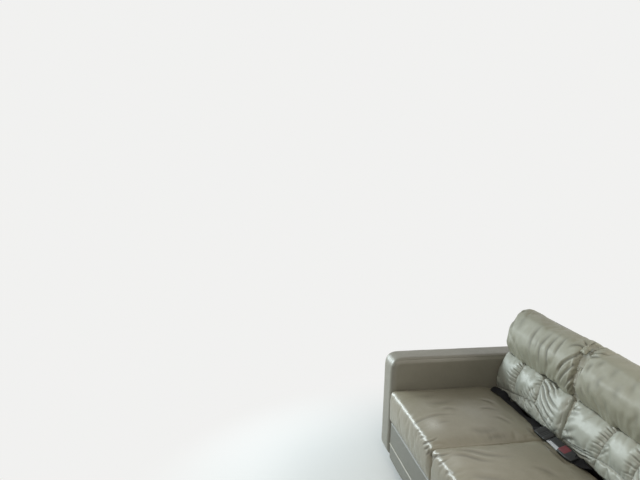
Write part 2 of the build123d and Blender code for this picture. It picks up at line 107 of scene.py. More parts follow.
def putOut(group, *values):  # colour, roughness and height, in the order of the group's outputs
    for value, socket in zip(values, group.nodes.new("NodeGroupOutput").inputs):
        group.links.new(value, socket)
    return group


def addNode(tree, kind, settings=None, **inputs):
    node = tree.nodes.new(kind)
    for key, value in (settings or {}).items():
        setattr(node, key, value)
    for key, value in inputs.items():
        socket = node.inputs[int(key[1:])] if key[0] == "i" and key[1:].isdigit() else node.inputs[key]
        if isinstance(value, bpy.types.NodeSocket):
            tree.links.new(value, socket)
        else:
            socket.default_value = value
    return node


def mathNode(tree, operation, first, second=0.0, clamp=False):
    settings = {"operation": operation, "use_clamp": clamp}
    return addNode(tree, "ShaderNodeMath", settings, i0=first, i1=second).outputs[0]


def times(tree, first, second):
    return mathNode(tree, "MULTIPLY", first, second)


def weightedSum(tree, parts):  # parts: (value, weight); a weight of None adds the value as it is
    total = None
    for value, weight in parts:
        part = value if weight is None else times(tree, value, weight)
        total = part if total is None else mathNode(tree, "ADD", total, part)
    return total


def mixColour(tree, factor, first, second):
    node = addNode(tree, "ShaderNodeMix", {"data_type": "RGBA", "blend_type": "MIX"})
    for index, value in ((0, factor), (6, first), (7, second)):
        if isinstance(value, bpy.types.NodeSocket):
            tree.links.new(value, node.inputs[index])
        else:
            node.inputs[index].default_value = value
    return node.outputs[2]


def remap(tree, value, low, high, toLow=0.0, toHigh=1.0):
    node = addNode(tree, "ShaderNodeMapRange", {"clamp": True}, i0=value, i1=low, i2=high, i3=toLow, i4=toHigh)
    return node.outputs[0]


def noiseAt(tree, place, scale, detail, roughness=0.5, distortion=0.0):
    return addNode(tree, "ShaderNodeTexNoise", None, Vector=place, Scale=scale, Detail=detail, Roughness=roughness,
                   Distortion=distortion).outputs["Fac"]


def attributeNode(tree, name):
    return addNode(tree, "ShaderNodeAttribute", {"attribute_name": name}).outputs["Fac"]


def raysThatSee(tree):  # 1 for the camera, and for gloss and glass, which show the same background
    rays = addNode(tree, "ShaderNodeLightPath").outputs
    behind = mathNode(tree, "MAXIMUM", rays["Is Glossy Ray"], rays["Is Transmission Ray"])
    return mathNode(tree, "MAXIMUM", rays["Is Camera Ray"], behind)


leatherNoises = {  # scale, detail, roughness, distortion
    "fine": (950.0, 3.0, 0.6),
    "cloudy": (7.0, 4.0, 0.62),
    "soft": (46.0, 5.0, 0.65, 0.6),
    "crinkle": (120.0, 3.0, 0.55, 1.2),
}


def leatherGroup():
    group, given = newGroup("leather", {"Colour": (0.5, 0.5, 0.5, 1), "Shade": (0.3, 0.3, 0.3, 1),
                                        "Grain size": 0.0016, "Mottle": 0.5, "Gloss": 0.5})
    place = addNode(group, "ShaderNodeTexCoord").outputs["Object"]
    scale = mathNode(group, "DIVIDE", 1.0, given["Grain size"])
    pebble = addNode(group, "ShaderNodeTexVoronoi", {"feature": "SMOOTH_F1"}, Vector=place, Scale=scale,
                     Smoothness=0.35, Randomness=1.0).outputs["Distance"]
    cracks = addNode(group, "ShaderNodeTexVoronoi", {"feature": "DISTANCE_TO_EDGE"}, Vector=place, Scale=scale)
    crackLine = remap(group, cracks.outputs["Distance"], 0.0, 0.16)
    fine, cloudy, soft, crinkle = (noiseAt(group, place, *leatherNoises[key]) for key in leatherNoises)
    fold, worn = attributeNode(group, "crease"), attributeNode(group, "worn")
    blotch = times(group, remap(group, cloudy, 0.35, 0.7), given["Mottle"])
    speck = times(group, remap(group, soft, 0.5, 0.75), given["Mottle"])
    colour = given["Colour"]
    for mask, amount in ((blotch, 0.55), (speck, 0.35), (mathNode(group, "SUBTRACT", 1.0, crackLine), 0.12)):
        colour = mixColour(group, times(group, mask, amount), colour, given["Shade"])
    # painted shade: the cover turns near black along its creases and pinched corners, where shade falls
    creaseShade = mathNode(group, "MULTIPLY", fold, 0.95, clamp=True)
    dark = mixColour(group, 0.70, given["Shade"], (0.03, 0.026, 0.02, 1))
    colour = mixColour(group, creaseShade, colour, dark)
    # paler where worn: wear on fold ridges, and painted reflection at the seat's sheen patches
    pale = mixColour(group, 0.30, given["Colour"], (0.8, 0.8, 0.76, 1))
    colour = mixColour(group, times(group, worn, 0.75), colour, pale)
    rough = remap(group, given["Gloss"], 0.0, 1.0, 0.64, 0.20)
    rough = weightedSum(group, ((rough, None), (soft, 0.10), (fold, 0.16), (worn, -0.14)))
    height = weightedSum(group, ((pebble, 0.55), (crackLine, 0.35), (fine, 0.15), (crinkle, 1.1), (soft, 1.2)))
    return putOut(group, colour, rough, height)


def wearGroup():
    group, given = newGroup("surface wear", {"Colour": (0.5, 0.5, 0.5, 1), "Worn colour": (0.6, 0.6, 0.6, 1),
                                             "Roughness": 0.5, "Patch size": 0.05, "Amount": 0.5})
    place = addNode(group, "ShaderNodeTexCoord").outputs["Object"]
    patch = noiseAt(group, place, mathNode(group, "DIVIDE", 1.0, given["Patch size"]), 7.0, 0.68)
    speck = noiseAt(group, place, 1400.0, 2.0)
    mask = times(group, remap(group, patch, 0.44, 0.68), given["Amount"])
    rough = weightedSum(group, ((given["Roughness"], None), (mathNode(group, "SUBTRACT", patch, 0.5), 0.3)))
    colour = mixColour(group, mask, given["Colour"], given["Worn colour"])
    return putOut(group, colour, rough, weightedSum(group, ((patch, 0.4), (speck, None))))


leatherNodes = leatherGroup()
wearNodes = wearGroup()


def newMaterial(name):
    material = bpy.data.materials.new(name)
    material.use_nodes = True
    tree = material.node_tree
    shader = next(node for node in tree.nodes if node.type == "BSDF_PRINCIPLED")
    return material, tree, shader


def dress(tree, shader, colour, rough, height=None, distance=0.0, strength=1.0):
    tree.links.new(colour, shader.inputs["Base Color"])
    tree.links.new(rough, shader.inputs["Roughness"])
    if height is not None:
        bump = addNode(tree, "ShaderNodeBump", None, Height=height, Distance=distance, Strength=strength)
        tree.links.new(bump.outputs["Normal"], shader.inputs["Normal"])


# painted light: one leather in lit and shaded copies; seat and arm darker as painted shade, back paler and cooler as
# painted cool light, bolster between
leathers = {
    "seat": dict(colour=(0.240, 0.222, 0.165), shade=(0.158, 0.142, 0.102), gloss=0.70, mottle=0.55, coat=0.20),
    "back": dict(colour=(0.350, 0.366, 0.318), shade=(0.252, 0.256, 0.212), gloss=0.54, mottle=0.35, coat=0.10),
    "bolster": dict(colour=(0.262, 0.258, 0.198), shade=(0.186, 0.180, 0.130), gloss=0.36, mottle=0.45, coat=0.04),
    "arm": dict(colour=(0.200, 0.190, 0.152), shade=(0.132, 0.122, 0.095), gloss=0.62, mottle=0.50, coat=0.14),
    "base": dict(colour=(0.160, 0.158, 0.132), shade=(0.105, 0.102, 0.083), gloss=0.46, mottle=0.60, coat=0.06),
    "welt": dict(colour=(0.420, 0.402, 0.335), shade=(0.300, 0.282, 0.228), gloss=0.55, mottle=0.40, coat=0.06),
    "gusset": dict(colour=(0.262, 0.252, 0.200), shade=(0.170, 0.160, 0.122), gloss=0.30, mottle=0.70, coat=0.0),
}


def leatherMaterial(kind):
    look = leathers[kind]
    material, tree, shader = newMaterial(kind + " leather")
    group = addNode(tree, "ShaderNodeGroup", {"node_tree": leatherNodes}, Colour=(*look["colour"], 1),
                    Shade=(*look["shade"], 1), Mottle=look["mottle"], Gloss=look["gloss"])
    shader.inputs["Specular IOR Level"].default_value = 0.5
    shader.inputs["Coat Weight"].default_value = look["coat"]
    shader.inputs["Coat Roughness"].default_value = 0.26
    dress(tree, shader, *group.outputs, 0.00022, 0.9)
    return material


wornFinishes = {
    "black steel": dict(colour=(0.022, 0.022, 0.024), worn=(0.075, 0.070, 0.064), rough=0.42, patch=0.030,
                        amount=0.5, bump=0.00010),
    "zinc steel": dict(colour=(0.50, 0.51, 0.52), worn=(0.36, 0.355, 0.33), rough=0.34, patch=0.014,
                       amount=0.7, metallic=0.9, bump=0.00006),
    "bright steel": dict(colour=(0.46, 0.48, 0.50), worn=(0.36, 0.37, 0.38), rough=0.30, patch=0.008,
                         amount=0.4, metallic=1.0, bump=0.00003),
    "black board": dict(colour=(0.020, 0.019, 0.018), worn=(0.085, 0.078, 0.068), rough=0.55, patch=0.05,
                        amount=0.6, bump=0.00020),
    "black plastic": dict(colour=(0.008, 0.009, 0.009), worn=(0.026, 0.027, 0.026), rough=0.42, patch=0.010,
                          amount=0.5, bump=0.00008, specular=0.3),
    "black cloth": dict(colour=(0.010, 0.010, 0.010), worn=(0.030, 0.029, 0.027), rough=0.88, patch=0.020,
                        amount=0.5, bump=0.00020, specular=0.15),
    "red plastic": dict(colour=(0.105, 0.006, 0.012), worn=(0.060, 0.006, 0.009), rough=0.34, patch=0.006,
                        amount=0.5, bump=0.00006),
}


def wornMaterial(kind):
    look = wornFinishes[kind]
    material, tree, shader = newMaterial(kind)
    group = addNode(tree, "ShaderNodeGroup", {"node_tree": wearNodes}, Colour=(*look["colour"], 1),
                    Roughness=look["rough"], Amount=look["amount"])
    group.inputs["Worn colour"].default_value = (*look["worn"], 1)
    group.inputs["Patch size"].default_value = look["patch"]
    shader.inputs["Metallic"].default_value = look.get("metallic", 0.0)
    shader.inputs["Specular IOR Level"].default_value = look.get("specular", 0.5)
    dress(tree, shader, *group.outputs, look["bump"], 0.8)
    return material


plywoodLook = dict(colour=(0.50, 0.345, 0.195), dark=(0.300, 0.185, 0.095), glue=(0.120, 0.070, 0.040))


def plywoodMaterial():
    look = plywoodLook
    material, tree, shader = newMaterial("raw plywood")
    place = addNode(tree, "ShaderNodeTexCoord").outputs["Object"]
    stretched = addNode(tree, "ShaderNodeMapping", None, Vector=place, Scale=(1.2, 26.0, 26.0)).outputs[0]
    figure = noiseAt(tree, stretched, 2.2, 6.0, 0.62, 1.4)
    pores = addNode(tree, "ShaderNodeMapping", None, Vector=place, Scale=(18.0, 420.0, 420.0)).outputs[0]
    pore = noiseAt(tree, pores, 2.0, 3.0)
    stain = noiseAt(tree, place, 5.0, 5.0)
    colour = mixColour(tree, remap(tree, figure, 0.35, 0.68), (*look["colour"], 1), (*look["dark"], 1))
    colour = mixColour(tree, remap(tree, pore, 0.58, 0.75, 0.0, 0.5), colour, (*look["glue"], 1))
    colour = mixColour(tree, remap(tree, stain, 0.5, 0.8, 0.0, 0.35), colour, (*look["dark"], 1))
    height = weightedSum(tree, ((figure, None), (pore, 0.8)))
    dress(tree, shader, colour, remap(tree, figure, 0.3, 0.7, 0.58, 0.74), height, 0.0004, 0.7)
    return material


webbingLook = dict(colour=(0.005, 0.005, 0.006), thread=(0.016, 0.016, 0.017), rib=0.0023)


def webbingMaterial():
    look = webbingLook
    material, tree, shader = newMaterial("belt webbing")
    place = addNode(tree, "ShaderNodeUVMap", {"uv_map": "weave"}).outputs[0]
    along = addNode(tree, "ShaderNodeTexWave", {"wave_type": "BANDS", "bands_direction": "Y"}, Vector=place,
                    Scale=0.314 / look["rib"] / 1.6, Distortion=0.3).outputs["Fac"]
    across = addNode(tree, "ShaderNodeTexWave", {"wave_type": "BANDS", "bands_direction": "X"}, Vector=place,
                     Scale=0.314 / look["rib"], Distortion=0.5).outputs["Fac"]
    lint = noiseAt(tree, place, 260.0, 3.0)
    weave = times(tree, along, mathNode(tree, "ADD", 0.4, times(tree, across, 0.6)))
    colour = mixColour(tree, weave, (*look["colour"], 1), (*look["thread"], 1))
    colour = mixColour(tree, remap(tree, lint, 0.6, 0.8, 0.0, 0.35), colour, (0.06, 0.06, 0.055, 1))
    dress(tree, shader, colour, remap(tree, lint, 0.3, 0.8, 0.60, 0.80), weave, 0.0005)
    shader.inputs["Specular IOR Level"].default_value = 0.15
    return material


threadLook = dict(colour=(0.52, 0.50, 0.43), twist=1400.0)


def threadMaterial():
    look = threadLook
    material, tree, shader = newMaterial("thread")
    place = addNode(tree, "ShaderNodeTexCoord").outputs["Object"]
    fray = noiseAt(tree, place, look["twist"], 2.0)
    dark = tuple(value * 0.6 for value in look["colour"])
    colour = mixColour(tree, fray, (*look["colour"], 1), (*dark, 1))
    dress(tree, shader, colour, remap(tree, fray, 0.3, 0.7, 0.5, 0.7))
    return material


materials = {kind: leatherMaterial(kind) for kind in leathers}
materials["thread"] = threadMaterial()
materials.update({kind: wornMaterial(kind) for kind in wornFinishes})
materials["plywood"] = plywoodMaterial()
materials["webbing"] = webbingMaterial()
print("materials ready")


# Mesh helpers

def linked(name, data):
    item = bpy.data.objects.new(name, data)
    bpy.context.scene.collection.objects.link(item)
    return item


def newPiece(name, points, faces, material, smooth=True):
    mesh = bpy.data.meshes.new(name)
    points = np.asarray(points, float)
    volume = sum(points[f[0]] @ np.cross(points[f[k]], points[f[k + 1]]) for f in faces for k in range(1, len(f) - 1))
    faces = [tuple(f) if volume > 0 else tuple(f[::-1]) for f in faces]
    mesh.from_pydata([tuple(p) for p in points], [], faces)
    mesh.validate()
    if smooth:
        mesh.polygons.foreach_set("use_smooth", [True] * len(mesh.polygons))
    mesh.materials.append(materials[material])
    return linked(name, mesh)


def setAttribute(piece, name, values):
    attributes = piece.data.attributes
    layer = attributes.get(name) or attributes.new(name, "FLOAT", "POINT")
    layer.data.foreach_set("value", np.asarray(values, dtype=np.float32))


def readAttribute(piece, name):
    values = np.zeros(len(piece.data.vertices), np.float32)
    piece.data.attributes[name].data.foreach_get("value", values)
    return values.astype(float)


def readVectors(items, field):
    flat = np.zeros(len(items) * 3)
    items.foreach_get(field, flat)
    return flat.reshape(-1, 3)


def readPoints(piece):
    return readVectors(piece.data.vertices, "co")


def readNormals(piece):
    return readVectors(piece.data.vertex_normals, "vector")


def writePoints(piece, points):
    piece.data.vertices.foreach_set("co", np.asarray(points).ravel())
    piece.data.update()


def ease(value):
    value = np.clip(value, 0, 1)
    return value * value * (3 - 2 * value)


def walked(path):  # how far along the path each of its points lies
    return np.concatenate([[0], np.cumsum(np.linalg.norm(np.diff(path, axis=0), axis=1))])


def spotsAt(path, marks, lengths=None):  # the path's places at these lengths along it
    lengths = walked(path) if lengths is None else lengths
    return np.stack([np.interp(marks, lengths, path[:, k]) for k in range(path.shape[1])], axis=-1)


def unit(vector):
    return vector / (np.linalg.norm(vector) + 1e-12)


def directions(path):
    step = np.gradient(path, axis=0)
    return step / (np.linalg.norm(step, axis=1)[:, None] + 1e-12)


def backHeight(points):  # how far up the back's own slope each point lies
    return (points[:, 1] - pivotY) * math.sin(recline) + (points[:, 2] - pivotZ) * math.cos(recline)


def evenShares(count, ends=0.0):  # shares 0..1; ends draws the cuts closer to both ends
    t = np.linspace(0, 1, count + 1)
    return t - ends * np.sin(2 * np.pi * t) / (2 * np.pi)


def roundedOutline(corners, arcCuts=10):
    # corners: (first, second, radius, isBlockCorner); gives the four sides between the block's corners
    count = len(corners)
    path, marks = [], []
    for index, (p, q, radius, isCorner) in enumerate(corners):
        here = np.array((p, q))
        before = np.array(corners[index - 1][:2]) - here
        after = np.array(corners[(index + 1) % count][:2]) - here
        reach = min(np.linalg.norm(before), np.linalg.norm(after)) * 0.49
        before, after = before / np.linalg.norm(before), after / np.linalg.norm(after)
        turn = math.acos(float(np.clip(before @ after, -1, 1)))
        cut = min(radius / max(math.tan(turn / 2), 1e-6), reach)
        start, end = here + before * cut, here + after * cut
        for step in range(arcCuts + 1):
            t = step / arcCuts
            path.append((1 - t) ** 2 * start + 2 * t * (1 - t) * here + t ** 2 * end)
            if step == arcCuts // 2 and isCorner:
                marks.append(len(path) - 1)
    path = np.array(path)
    path = np.roll(path, -marks[0], axis=0)
    marks = [mark - marks[0] for mark in marks] + [len(path)]
    path = np.vstack([path, path[:1]])
    return [path[marks[i]:marks[i + 1] + 1] for i in range(4)]


def along(path, shares):
    at = np.asarray(shares) * walked(path)[-1]
    return spotsAt(path, at), at


# A closed block: an outline with four sides (front up, top back, rear down, bottom forward) run along X.
# It keeps for each point how far along X (across), how far round the outline (around) and which side (face).
def softBlock(name, outline, low, high, cuts, endRound, material):
    xShares = evenShares(cuts[0], 0.35)
    depthShares, heightShares = evenShares(cuts[1]), evenShares(cuts[2])
    front, frontAt = along(outline[0], heightShares)
    top, topAt = along(outline[1], depthShares)
    rear, rearAt = along(outline[2][::-1], heightShares)
    bottom, bottomAt = along(outline[3][::-1], depthShares)
    nx, ny, nz = cuts
    loop = [(0, k) for k in range(nz)] + [(j, nz) for j in range(ny)]
    loop += [(ny, k) for k in range(nz, 0, -1)] + [(j, 0) for j in range(ny, 0, -1)]

    def ringPoint(j, k):
        if j == 0:
            return front[k]
        if k == nz:
            return top[j]
        return rear[k] if j == ny else bottom[j]

    ring = np.array([ringPoint(j, k) for j, k in loop])
    tangent = np.roll(ring, -1, axis=0) - np.roll(ring, 1, axis=0)
    tangent /= np.linalg.norm(tangent, axis=1)[:, None] + 1e-12
    outward = np.stack([-tangent[:, 1], tangent[:, 0]], axis=-1)
    ringAt = [frontAt[k] if j == 0 else frontAt[-1] + topAt[j] if k == nz
              else frontAt[-1] + topAt[-1] + (rearAt[-1] - rearAt[k]) if j == ny
              else -bottomAt[j] for j, k in loop]
    ringFace = [0 if j == 0 and 0 < k else 1 if k == nz else 2 if j == ny else 3 for j, k in loop]
    length = high - low
    points, across, around, face, indexOf = [], [], [], [], {}
    for i, share in enumerate(xShares):
        t = min(share, 1 - share) * length
        inset = endRound - math.sqrt(max(endRound ** 2 - max(endRound - t, 0) ** 2, 0))
        shifted = ring - outward * inset
        for r, (j, k) in enumerate(loop):
            indexOf[i, j, k] = len(points)
            points.append((low + share * length, *shifted[r]))
            across.append(share)
            around.append(ringAt[r])
            face.append(ringFace[r])
        if i in (0, nx):
            cap = dict(zip(loop, shifted))
            for j in range(1, ny):
                for k in range(1, nz):
                    b, c = depthShares[j], heightShares[k]
                    spot = ((1 - c) * cap[j, 0] + c * cap[j, nz] + (1 - b) * cap[0, k] + b * cap[ny, k]
                            - (1 - b) * (1 - c) * cap[0, 0] - b * (1 - c) * cap[ny, 0]
                            - (1 - b) * c * cap[0, nz] - b * c * cap[ny, nz])
                    indexOf[i, j, k] = len(points)
                    points.append((low + share * length, *spot))
                    across.append(share)
                    around.append(-1.0)
                    face.append(4)
    faces = []
    for i in range(nx):
        for r, here in enumerate(loop):
            after = loop[(r + 1) % len(loop)]
            faces.append((indexOf[i, *here], indexOf[i, *after], indexOf[i + 1, *after], indexOf[i + 1, *here]))
    for i, flip in ((0, False), (nx, True)):
        for j in range(ny):
            for k in range(nz):
                quad = (indexOf[i, j, k], indexOf[i, j + 1, k], indexOf[i, j + 1, k + 1], indexOf[i, j, k + 1])
                faces.append(quad[::-1] if flip else quad)
    piece = newPiece(name, points, faces, material)
    for label, values in (("across", across), ("around", around), ("face", face), ("crease", [0.0] * len(points)),
                          ("worn", [0.0] * len(points)), ("sheetX", [p[0] for p in points])):
        setAttribute(piece, label, values)
    return piece


def taperEnds(piece, ends, reach=0.090):
    # ends: for the left and the right end a table of (height along the back, how far the end draws in there)
    points = readPoints(piece)
    low, high = points[:, 0].min(), points[:, 0].max()
    shift = np.zeros(len(points))
    for table, distance, way in ((ends[0], points[:, 0] - low, 1), (ends[1], high - points[:, 0], -1)):
        if table:
            heights, insets = zip(*table)
            draw = np.interp(points[:, 2], heights, insets) / 1000
            shift += way * draw * np.clip(1 - distance / reach, 0, 1) ** 2
    points[:, 0] += shift
    setAttribute(piece, "sheetX", points[:, 0])
    writePoints(piece, points)


# Cloth: every cushion is inflated at once, its seams held, then no point keeps more than its allowed move
clothLook = dict(frames=20, quality=5, mass=0.3, tension=12, shear=5, bending=0.4)


def inflate(jobs):
    scene = bpy.context.scene
    frames = clothLook["frames"]
    before = {}
    for piece, look, hold in jobs:
        group = piece.vertex_groups.new(name="held")
        for index, weight in enumerate(hold):
            if weight > 0.01:
                group.add([index], float(weight), "REPLACE")
        cloth = piece.modifiers.new("Cloth", "CLOTH")
        settings = cloth.settings
        settings.quality = clothLook["quality"]
        settings.mass = clothLook["mass"]
        settings.tension_stiffness = settings.compression_stiffness = clothLook["tension"]
        settings.shear_stiffness = clothLook["shear"]
        settings.bending_stiffness = clothLook["bending"]
        settings.use_pressure = True
        settings.uniform_pressure_force = look["pressure"]
        settings.shrink_min = -look["slack"]
        settings.vertex_group_mass = "held"
        settings.pin_stiffness = 1.0
        settings.effector_weights.gravity = 0
        cloth.collision_settings.use_self_collision = False
        cloth.point_cache.frame_end = frames
        before[piece] = readPoints(piece)
    for step in range(1, frames + 1):
        scene.frame_set(step)
    graph = bpy.context.evaluated_depsgraph_get()
    after = {}
    for piece, look, hold in jobs:
        after[piece] = readPoints(piece.evaluated_get(graph))
    for piece, look, hold in jobs:
        moved = after[piece] - before[piece]
        piece.modifiers.clear()
        piece.vertex_groups.clear()
        size = np.linalg.norm(moved, axis=1)
        print("  ", piece.name, "moved at most", round(float(size.max()) * 1000, 1), "mm, mean",
              round(float(size.mean()) * 1000, 1))
        scale = (1 + (size / look["cap"]) ** 4) ** -0.25
        writePoints(piece, before[piece] + moved * scale[:, None])
    scene.frame_set(1)


def subdivide(piece):
    modifier = piece.modifiers.new("smooth", "SUBSURF")
    modifier.levels = modifier.render_levels = 1
    graph = bpy.context.evaluated_depsgraph_get()
    mesh = bpy.data.meshes.new_from_object(piece.evaluated_get(graph))
    piece.modifiers.clear()
    old = piece.data
    piece.data = mesh
    bpy.data.meshes.remove(old)
    mesh.polygons.foreach_set("use_smooth", [True] * len(mesh.polygons))


# Folds: a stroke is a curve on the sheet with a width, a depth and a ridge beside it
def smoothPath(points, cuts=14):
    points = np.array(points, float)
    if len(points) == 2:
        t = np.linspace(0, 1, cuts)[:, None]
        return points[0] * (1 - t) + points[1] * t
    padded = np.vstack([2 * points[0] - points[1], points, 2 * points[-1] - points[-2]])
    result = []
    for i in range(1, len(padded) - 2):
        p0, p1, p2, p3 = padded[i - 1:i + 3]
        for t in np.linspace(0, 1, cuts, endpoint=i == len(padded) - 3):
            result.append(0.5 * (2 * p1 + (p2 - p0) * t + (2 * p0 - 5 * p1 + 4 * p2 - p3) * t ** 2
                                 + (3 * p1 - p0 - 3 * p2 + p3) * t ** 3))
    return np.array(result)


foldRidges = ((0.55, 1.35), (0.3, -1.5))  # beside a fold: height in its depths, place in its widths


def strokeField(sheet, strokes):
    # sheet: N x 2 places in metres; strokes: (points in mm, width mm, depth mm, taper start, taper end)
    height = np.zeros(len(sheet))
    dark = np.zeros(len(sheet))
    for points, width, depth, fadeIn, fadeOut in strokes:
        path = smoothPath(points) / 1000
        width, depth = width / 1000, depth / 1000
        low, high = path.min(axis=0) - 3.2 * width, path.max(axis=0) + 3.2 * width
        near = np.where(((sheet > low) & (sheet < high)).all(axis=1))[0]
        if not len(near):
            continue
        spots = sheet[near]
        start, step = path[:-1], np.diff(path, axis=0)
        lengths, before = np.linalg.norm(step, axis=1), walked(path)
        offset = spots[:, None] - start[None]
        t = np.clip((offset * step[None]).sum(-1) / (lengths ** 2)[None], 0, 1)
        gap = offset - t[..., None] * step[None]
        distance = np.linalg.norm(gap, axis=-1)
        best = distance.argmin(axis=1)
        rows = np.arange(len(near))
        distance = distance[rows, best]
        share = (before[best] + t[rows, best] * lengths[best]) / before[-1]
        side = np.sign(step[best, 0] * gap[rows, best, 1] - step[best, 1] * gap[rows, best, 0])
        fade = np.minimum(ease(share / max(fadeIn, 1e-3)), ease((1 - share) / max(fadeOut, 1e-3)))
        u = side * distance / width
        profile = -np.exp(-u ** 2) + sum(size * np.exp(-((u - at) / 0.8) ** 2) for size, at in foldRidges)
        height[near] += depth * fade * profile
        # painted shade: each fold's valley is marked, to be painted darker as shade in the crease
        dark[near] = np.maximum(dark[near], fade * np.exp(-(u * 1.7) ** 2) * min(1, abs(depth) / 0.004))
    return height, dark


def gather(start, end, count, reach, width, depth, lean, seed):
    # short folds that leave a seam, alternately to both sides, longest in the middle
    rng = random.Random(seed)
    start, end = np.array(start, float), np.array(end, float)
    direction = (end - start) / np.linalg.norm(end - start)
    square = np.array((direction[1], -direction[0]))
    strokes = []
    for index in range(count):
        share = (index + 0.5 + rng.uniform(-0.25, 0.25)) / count
        side = 1 if index % 2 else -1
        span = reach * rng.uniform(0.55, 1.1)
        root = start + (end - start) * share
        tip = root + square * side * span + direction * lean * span * rng.uniform(0.6, 1.2)
        middle = (root + tip) / 2 + direction * lean * span * -0.18 + square * side * span * 0.08
        strokes.append(((root, middle, tip), width * rng.uniform(0.8, 1.25), depth * rng.uniform(0.6, 1.2),
                        0.05, 0.75))
    return strokes


def smoothNoise(points, size, seed):
    # cheap smooth noise: a few seeded waves
    rng = random.Random(seed)
    total = np.zeros(len(points))
    for _ in range(7):
        direction = np.array([rng.gauss(0, 1) for _ in range(3)])
        direction /= np.linalg.norm(direction)
        total += np.sin(points @ direction * 2 * math.pi / (size * rng.uniform(0.6, 1.6)) + rng.uniform(0, 6.28))
    return total / 7


# Seat cushions. A fold is (path, width, depth, fade in, fade out). A path's points are millimetres on the
# cover: along the sofa from its middle, and up the front and over the top from the front's lower edge.

seatLook = dict(
    nose=0.026, rear=0.030, foot=0.014, endRound=0.013, crown=0.014, rearDrop=0.016, cuts=(60, 62, 16),
    pressure=3.0, slack=0.012, cap=0.010, soft=0.0010, calm=(0.150, 0.055), noseHold=0.55, noseAt=0.150,
    noseReach=0.014, topDepth=0.060, dropStart=0.80, dropSpan=0.25,
)
seatFolds = {
    "left": (
        (((-500, 128), (-482, 150), (-484, 196), (-499, 271), (-486, 369)), 11, 2.2, 0.15, 0.5),
        (((-446, 128), (-428, 148), (-412, 176)), 4.5, 2.0, 0.3, 0.4),
        (((-424, 126), (-402, 146), (-388, 166)), 4.0, 2.2, 0.3, 0.4),
        (((-396, 124), (-374, 144), (-352, 162)), 4.5, 2.8, 0.3, 0.5),
        (((-360, 118), (-336, 140), (-322, 168), (-337, 205)), 6, 3.8, 0.2, 0.5),
        (((-336, 112), (-314, 130), (-298, 156)), 4.5, 3.8, 0.2, 0.5),
        (((-312, 100), (-296, 118), (-286, 142)), 4.0, 3.2, 0.2, 0.5),
        (((-421, 225), (-436, 265), (-429, 306)), 13, 1.4, 0.4, 0.5),
        (((-541, 295), (-550, 343), (-519, 384)), 16, 1.6, 0.4, 0.5),
        (((-528, 478), (-535, 525), (-506, 562)), 13, 2.2, 0.4, 0.4),
        (((-622, 516), (-609, 556), (-558, 584)), 15, 2.0, 0.4, 0.4),
        (((-458, 500), (-430, 540), (-380, 566)), 14, 1.8, 0.4, 0.4),
        (((-716, 200), (-690, 280), (-702, 380)), 28, 1.4, 0.5, 0.5),
        (((-640, 220), (-606, 310), (-640, 430)), 30, 1.6, 0.5, 0.5),
        (((-370, 330), (-344, 420), (-362, 500)), 26, 1.6, 0.5, 0.5),
        (((-286, 380), (-310, 440), (-300, 520)), 18, 1.4, 0.5, 0.5),
    ),
    "middle": (
        (((-262, 118), (-226, 146), (-206, 176), (-204, 216)), 7, 3.8, 0.15, 0.5),
        (((-196, 124), (-174, 148), (-176, 184)), 6, 2.8, 0.3, 0.4),
        (((-252, 96), (-238, 122), (-222, 152)), 4.5, 3.0, 0.2, 0.5),
        (((-134, 122), (-110, 146), (-72, 166)), 8, 2.2, 0.3, 0.4),
        (((-196, 180), (-174, 243), (-129, 293), (-100, 360)), 16, 2.4, 0.3, 0.5),
        (((-227, 214), (-209, 281), (-162, 340), (-124, 460)), 17, 2.2, 0.3, 0.5),
        (((-60, 190), (-12, 262), (18, 352)), 26, 1.8, 0.5, 0.5),
        (((96, 180), (128, 244), (112, 332)), 26, 1.8, 0.5, 0.5),
        (((196, 130), (182, 180), (206, 250)), 12, 1.8, 0.4, 0.5),
        (((250, 118), (228, 142), (214, 180)), 7, 3.0, 0.2, 0.5),
        (((258, 92), (246, 120), (238, 150)), 5, 2.8, 0.2, 0.5),
        (((-70, 450), (-20, 500), (40, 520)), 20, 1.8, 0.5, 0.5),
        (((90, 420), (150, 470), (180, 540)), 22, 1.8, 0.5, 0.5),
    ),
}
placeBoxes = {place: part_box(f"seat_cushion_{place}") for place in places}
seatTop = placeBoxes["middle"][1].z
seatFront = placeBoxes["middle"][0].y
rollBottom = placeBoxes["middle"][0].z
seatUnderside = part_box("seat_deck")[1].z
arms = {side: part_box(f"arm_{side}") for side in sides}
armInner = arms["right"][0].x
seatCrevice = 0.158
halfGap = 0.005


def mirroredPath(path):
    return tuple((-x, y) for x, y in path)


def mirrored(folds):
    return tuple((mirroredPath(path), *rest) for path, *rest in folds)


seatFolds["right"] = mirrored(seatFolds["left"])


def seatOutline():
    look = seatLook
    rear = pivotY - halfGap - 0.001
    return roundedOutline((
        (seatFront + 0.003, rollBottom + 0.002, look["foot"], True),
        (seatFront + 0.001, seatTop - 0.001, look["nose"], True),
        (seatCrevice - 0.008, seatTop - 0.003, look["rear"], True),
        (rear, pivotZ - 0.002, 0.004, False),
        (rear, seatUnderside + 0.001, 0.006, True),
        (seatFront + 0.050, seatUnderside + 0.001, 0.004, False),
        (seatFront + 0.045, rollBottom + 0.002, 0.010, False),
    ))


